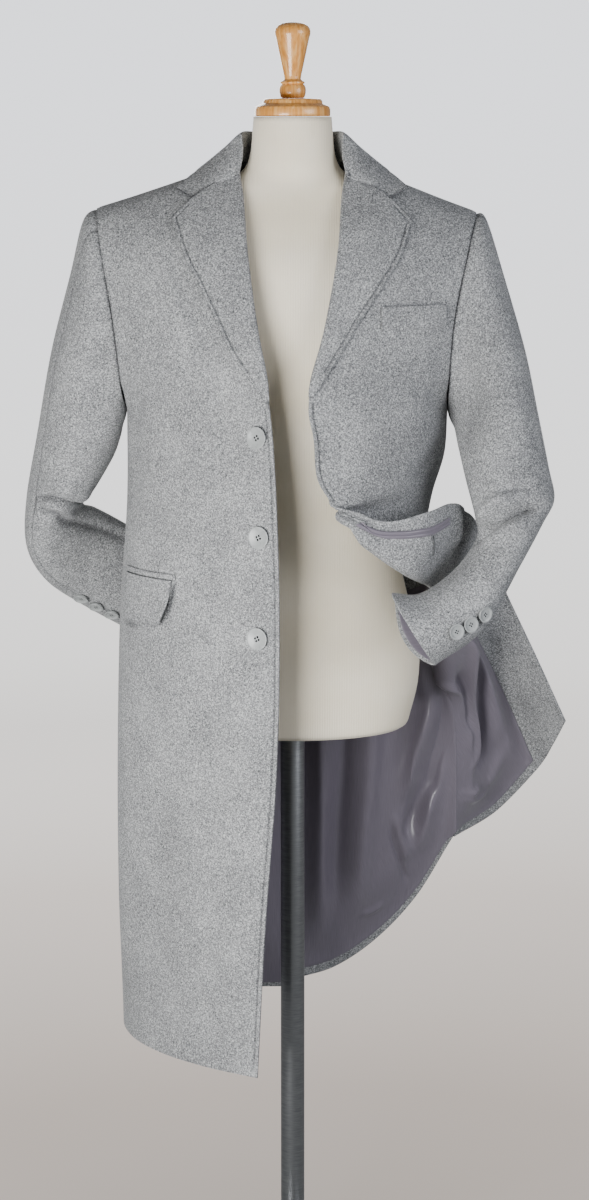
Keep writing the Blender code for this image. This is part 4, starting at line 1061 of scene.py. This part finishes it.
applied("pocket_flap_right", front_cloth[RIGHT], FLAP, FLAP_WALL, (60, 50), FLAP_CORNER, FLAP_SLANT,
        FLAP_KICK)
applied("pocket_jet_right", front_cloth[RIGHT], JET, WOOL_WALL, (48, 8))
applied("breast_welt", front_cloth[LEFT], WELT, WOOL_WALL, (50, 20))
jet_line_us, jet_line_vs = zip(*INNER_JET_LINE)
jet_us, jet_vs = lines(-1, 1, 17), lines(jet_line_vs[0], jet_line_vs[-1], 60)
leaf_width = np.interp(jet_vs, facing.vs, facing.across[:, -1]) / FACING_SHARE
jet_half = np.minimum(INNER_JET_HALF / leaf_width, INNER_JET_MOST)
jet_places = np.interp(jet_vs, jet_line_vs, jet_line_us)[:, None] + np.outer(jet_half, jet_us)
two_rolls = np.abs(np.sin(math.pi * jet_us)) * JET_SWELL
jet_lift = LINING_WALL + SEAM + JET_CLEAR + two_rolls + 0 * jet_places
inner_jets = Cloth(jet_us, jet_vs, facing.at(jet_places, jet_vs[:, None], jet_lift), facing.outward)
sew("inner_pocket_welt", inner_jets, LINING_WALL, satin)

# Buttonhole: a keyhole worked in grey silk twist through the left front's facing, below the inner pocket.
# Close stitches raise a lip round the slit, which opens into a small round eyelet towards the edge.
BUTTONHOLE = ((0.180, 9.15), (0.335, 9.33))
BUTTONHOLE_HALF = 0.0016
EYELET_HALF = 0.0017
EYELET_PLACE = 0.08           # along the hole, and how long the eyelet is
LIP = 0.0009
SLIT_SHARE = 0.35
TWIST_WALL = 0.0005
TWIST_CLEAR = 0.0006
TWIST = "#77797A"
PAINTED_SLIT_SHADE = "#1E1E1F"

# Silk twist: a hard shiny cord, laid in stitches too fine to show, with the slit between its lips painted
# dark as shade.
twist = new_material("silk_twist", Roughness=0.55)
painted_shade_in_slit = add_node(twist, "Attribute", {"attribute_name": "seam_shade"}).outputs["Fac"]
add_node(twist, "ValToRGB", {"stops": ((0.2, TWIST), (0.6, PAINTED_SLIT_SHADE))}, {"Fac": painted_shade_in_slit}, "Base Color")
hole_across, hole_along = lines(-1, 1, 15), lines(0, 1, 48)
half = BUTTONHOLE_HALF + EYELET_HALF * np.exp(-((hole_along - EYELET_PLACE) / EYELET_PLACE) ** 2)
slit = np.exp(-(hole_across / SLIT_SHARE) ** 2) + 0 * hole_along[:, None]
(hole_u, hole_v), (end_u, end_v) = BUTTONHOLE
spots_u = hole_u + (end_u - hole_u) * hole_along[:, None] + 0 * slit
row_length = np.linalg.norm(facing.at(0.2, hole_v + 0.1) - facing.at(0.2, hole_v - 0.1)) / 0.2
spots_v = hole_v + (end_v - hole_v) * hole_along[:, None] + np.outer(half, hole_across) / row_length
hole_points = facing.at(spots_u, spots_v, TWIST_CLEAR + LIP * (1 - slit))
buttonhole = Cloth(hole_across, hole_along, hole_points, -facing.outward)
# Painted shade: the slit between the lips is darkened.
buttonhole.shade += slit
worked = made_up("buttonhole_left_look", buttonhole, TWIST_WALL)
worked.data.materials.append(twist)
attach(worked, "root")

# Buttons: turned polyester discs with a raised rim and four holes, whose walls are painted dark as shade.
# Three close the right front and three more dress each cuff.
BUTTON_DIAMETER = 0.0285
CUFF_BUTTON_DIAMETER = 0.0205
BUTTON_HEIGHT = 0.0042
BUTTON_PLACES = ((-0.043, 1.204), (-0.041, 1.080), (-0.043, 0.952))
CUFF_BUTTONS = {
    RIGHT: ((1.52, 8.51), (1.52, 8.26), (1.52, 7.98)),
    LEFT: ((3.3, 9.23), (2.95, 8.97), (2.5, 8.74)),
}
BUTTON_STANDOFF = 0.0009      # the thread's shank
BUTTON_ROUNDING = 0.0005
RIM_SHARE = 0.085             # its flat rim and the slope inside it, as shares of the diameter
SLOPE_SHARE = 0.04
FOOT_SHARE = 0.86             # its underside, as a share of its face
DISH = 0.0013
DRILL_LENGTH = 0.02
PROBE = 0.01                  # how far off the cloth its direction is taken
HOLE_SPREAD = 0.095           # from the middle to a hole, as a share of the diameter
HOLE_SHARE = 0.050            # radius of a hole, as a share of the diameter
BUTTON_GREY = "#989B9A"
BUTTON_PALE = "#A8ABAA"
SWIRL_M = 1 / 130
HOLE_SHADE_DARK = "#1F2021"
HOLE_SHADE_GREY = "#3A3B3C"

# Cast polyester: faintly clouded, with a semi-matt polish that catches the light on its rim.
polyester = new_material("cast_polyester", Specular_IOR_Level=0.5)
place = add_node(polyester, "TexCoord").outputs["Object"]
swirl = add_node(polyester, "TexNoise", {"Scale": 1 / SWIRL_M, "Detail": 4.0, "Distortion": 1.0},
                 {"Vector": place})
add_node(polyester, "ValToRGB", {"stops": ((0.3, BUTTON_GREY), (0.7, BUTTON_PALE))}, {"Fac": swirl},
         "Base Color")
add_node(polyester, "MapRange", {"To Min": 0.22, "To Max": 0.36}, {"Value": swirl}, "Roughness")

# Painted shade in the four holes: a dull dark grey on their drilled walls, where little light reaches.
hole_shade = new_material("painted_hole_shade", Roughness=0.9)
place = add_node(hole_shade, "TexCoord").outputs["Object"]
hole_noise = add_node(hole_shade, "TexNoise", {"Scale": 1 / THREAD_M, "Detail": 2.0}, {"Vector": place})
add_node(hole_shade, "ValToRGB", {"stops": ((0.3, HOLE_SHADE_DARK), (0.7, HOLE_SHADE_GREY))}, {"Fac": hole_noise}, "Base Color")


def select_ends(piece, upwards):
    """Selects the faces that point up (1) or down (-1), and opens edit mode."""
    for face in piece.data.polygons:
        face.select = face.normal.z * upwards > 0.9
    bpy.ops.object.mode_set(mode="EDIT")


def button(name, diameter, cloth, u, v):
    """A disc with an inset dished face, four drilled holes and rounded edges, set on the cloth at (u, v)."""
    deselect()
    bpy.ops.mesh.primitive_cylinder_add(vertices=48, radius=diameter / 2, depth=BUTTON_HEIGHT)
    piece = bpy.context.object
    piece.name = name
    piece.data.materials.append(polyester)
    bpy.ops.object.mode_set(mode="EDIT")
    bpy.ops.mesh.select_mode(type="FACE")
    bpy.ops.mesh.select_all(action="DESELECT")
    bpy.ops.object.mode_set(mode="OBJECT")
    select_ends(piece, 1)
    bpy.ops.mesh.inset(thickness=diameter * RIM_SHARE)
    bpy.ops.mesh.inset(thickness=diameter * SLOPE_SHARE)
    bpy.ops.transform.translate(value=(0, 0, -DISH))
    bpy.ops.object.mode_set(mode="OBJECT")
    select_ends(piece, -1)
    bpy.ops.transform.resize(value=(FOOT_SHARE, FOOT_SHARE, 1))
    bpy.ops.object.mode_set(mode="OBJECT")
    round_edges(piece, BUTTON_ROUNDING, 3, 30)
    spread = diameter * HOLE_SPREAD
    for turn in range(4):
        angle = math.radians(45 + 90 * turn)
        deselect()
        bpy.ops.mesh.primitive_cylinder_add(vertices=14, radius=diameter * HOLE_SHARE, depth=DRILL_LENGTH,
                                            location=(spread * math.cos(angle), spread * math.sin(angle), 0))
        drill = bpy.context.object
        # Painted shade: the drilled walls take this dark material.
        drill.data.materials.append(hole_shade)
        hole = piece.modifiers.new("Hole", "BOOLEAN")
        hole.object = drill
        hole.material_mode = "TRANSFER"
        apply_modifiers(piece)
        bpy.data.objects.remove(drill)
    foot, raised = (cloth.at(u, v, BUTTON_STANDOFF + rise) for rise in (0, PROBE))
    outward = Vector((raised - foot) / PROBE)
    piece.data.transform(Vector((0, 0, 1)).rotation_difference(outward).to_matrix().to_4x4())
    piece.data.transform(Matrix.Translation(Vector(foot) + outward * BUTTON_HEIGHT / 2))
    bpy.ops.object.shade_smooth_by_angle(angle=math.radians(35))
    settle(piece, name, polyester)


for number, (x, z) in enumerate(BUTTON_PLACES, 1):
    button("button_front_%d" % number, BUTTON_DIAMETER, front_cloth[RIGHT], *front_cloth[RIGHT].locate(x, z))
for side, word in SIDES:
    for number, (k, t) in enumerate(CUFF_BUTTONS[side], 1):
        button("cuff_button_%s_%d" % (word, number), CUFF_BUTTON_DIAMETER, sleeve_top[side], k, t)

# Studio: a round pale floor that sweeps up into its wall on all sides, with large soft lights.
# The camera stands at the photograph's place, a little above the coat, and looks slightly down.
CAMERA_PLACE = (0.0025, -3.5, 1.60)
CAMERA_DOWN = 10.2
CAMERA_LENS = 80.85
# The paper's painted glow by distance out and height: darker and warmer at the middle of the floor, brighter
# and cooler up the wall.
Sweep = namedtuple("Sweep", "radius height glow")
SWEEP = (
    Sweep(0.10, 0.0, "#6E655E"),
    Sweep(0.80, 0.0, "#857B73"),
    Sweep(2.00, 0.0, "#A69E98"),
    Sweep(4.50, 0.0, "#D5D3D1"),
    Sweep(8.00, 0.2, "#E0E0E1"),
    Sweep(11.0, 1.8, "#E6E8EE"),
    Sweep(12.4, 5.5, "#E2E4EA"),
    Sweep(12.6, 12.0, "#E2E4EA"),
)
SWEEP_SIDES = 96
PAPER = "#7C7A78"
GLOW = 2.1
AIR = "#E8EAEC"
AIR_GLOW = 0.28
profile = curve(np.array([row[:2] for row in SWEEP]), lines(0, len(SWEEP) - 1, 70))
round_angles = lines(0, 2 * math.pi, SWEEP_SIDES + 1)
deselect()
bpy.ops.mesh.primitive_grid_add(x_subdivisions=SWEEP_SIDES, y_subdivisions=len(profile) - 1, size=1)
sweep = bpy.context.object
sweep.name = "studio_sweep"
sweep_points = [(r * math.cos(a), r * math.sin(a), z) for r, z in profile for a in round_angles]
sweep.data.vertices.foreach_set("co", np.array(sweep_points).reshape(-1))
sweep.data.shade_smooth()

# Seamless paper: matt, with painted light: it glows by itself, apart from the lamps on the coat, and its glow
# goes from darker and warmer near the floor to brighter and cooler above.
paper = new_material("seamless_paper", Base_Color=linear(PAPER), Roughness=0.9, Emission_Strength=GLOW)
height = add_node(paper, "SeparateXYZ", {}, {0: add_node(paper, "TexCoord").outputs["UV"]}).outputs["Y"]
stops = [(n / (len(SWEEP) - 1), row.glow) for n, row in enumerate(SWEEP)]
add_node(paper, "ValToRGB", {"stops": stops}, {"Fac": height}, "Emission Color")
sweep.data.materials.append(paper)
sweep.visible_diffuse = False           # its glow doesn't flatten the light on the coat
sweep.visible_glossy = False
sweep.visible_shadow = False

Light = namedtuple("Light", "name place aim size power colour")
LIGHTS = (
    Light("softbox_left", (-0.70, -1.35, 0.88), (-0.05, 0, 0.92), 0.8, 38, "#FFFFFF"),
    Light("softbox_right", (1.7, -1.3, 1.7), (0.1, 0, 1.05), 1.2, 28, "#F4F7FF"),
    Light("softbox_back", (-0.6, 3.0, 1.9), (0, 0, 1.0), 2.0, 60, "#FFFFFF"),
)
for light in LIGHTS:
    bpy.ops.object.light_add(type="AREA", location=light.place)
    lamp = bpy.context.object
    lamp.name = light.name
    lamp.data.shape = "SQUARE"
    lamp.data.size = light.size
    lamp.data.energy = light.power
    lamp.data.color = linear(light.colour)[:3]
    lamp.rotation_euler = (Vector(light.aim) - Vector(light.place)).to_track_quat("-Z", "Y").to_euler()
    lamp.visible_camera = False
world = bpy.data.worlds.new("studio_air")
world.use_nodes = True
for name, value in (("Color", linear(AIR)), ("Strength", AIR_GLOW)):
    world.node_tree.nodes["Background"].inputs[name].default_value = value
bpy.context.scene.world = world
bpy.ops.object.camera_add(location=CAMERA_PLACE, rotation=(math.radians(90 - CAMERA_DOWN), 0, 0))
camera = bpy.context.object
camera.data.lens = CAMERA_LENS
camera.data.sensor_width = 36
bpy.context.scene.camera = camera
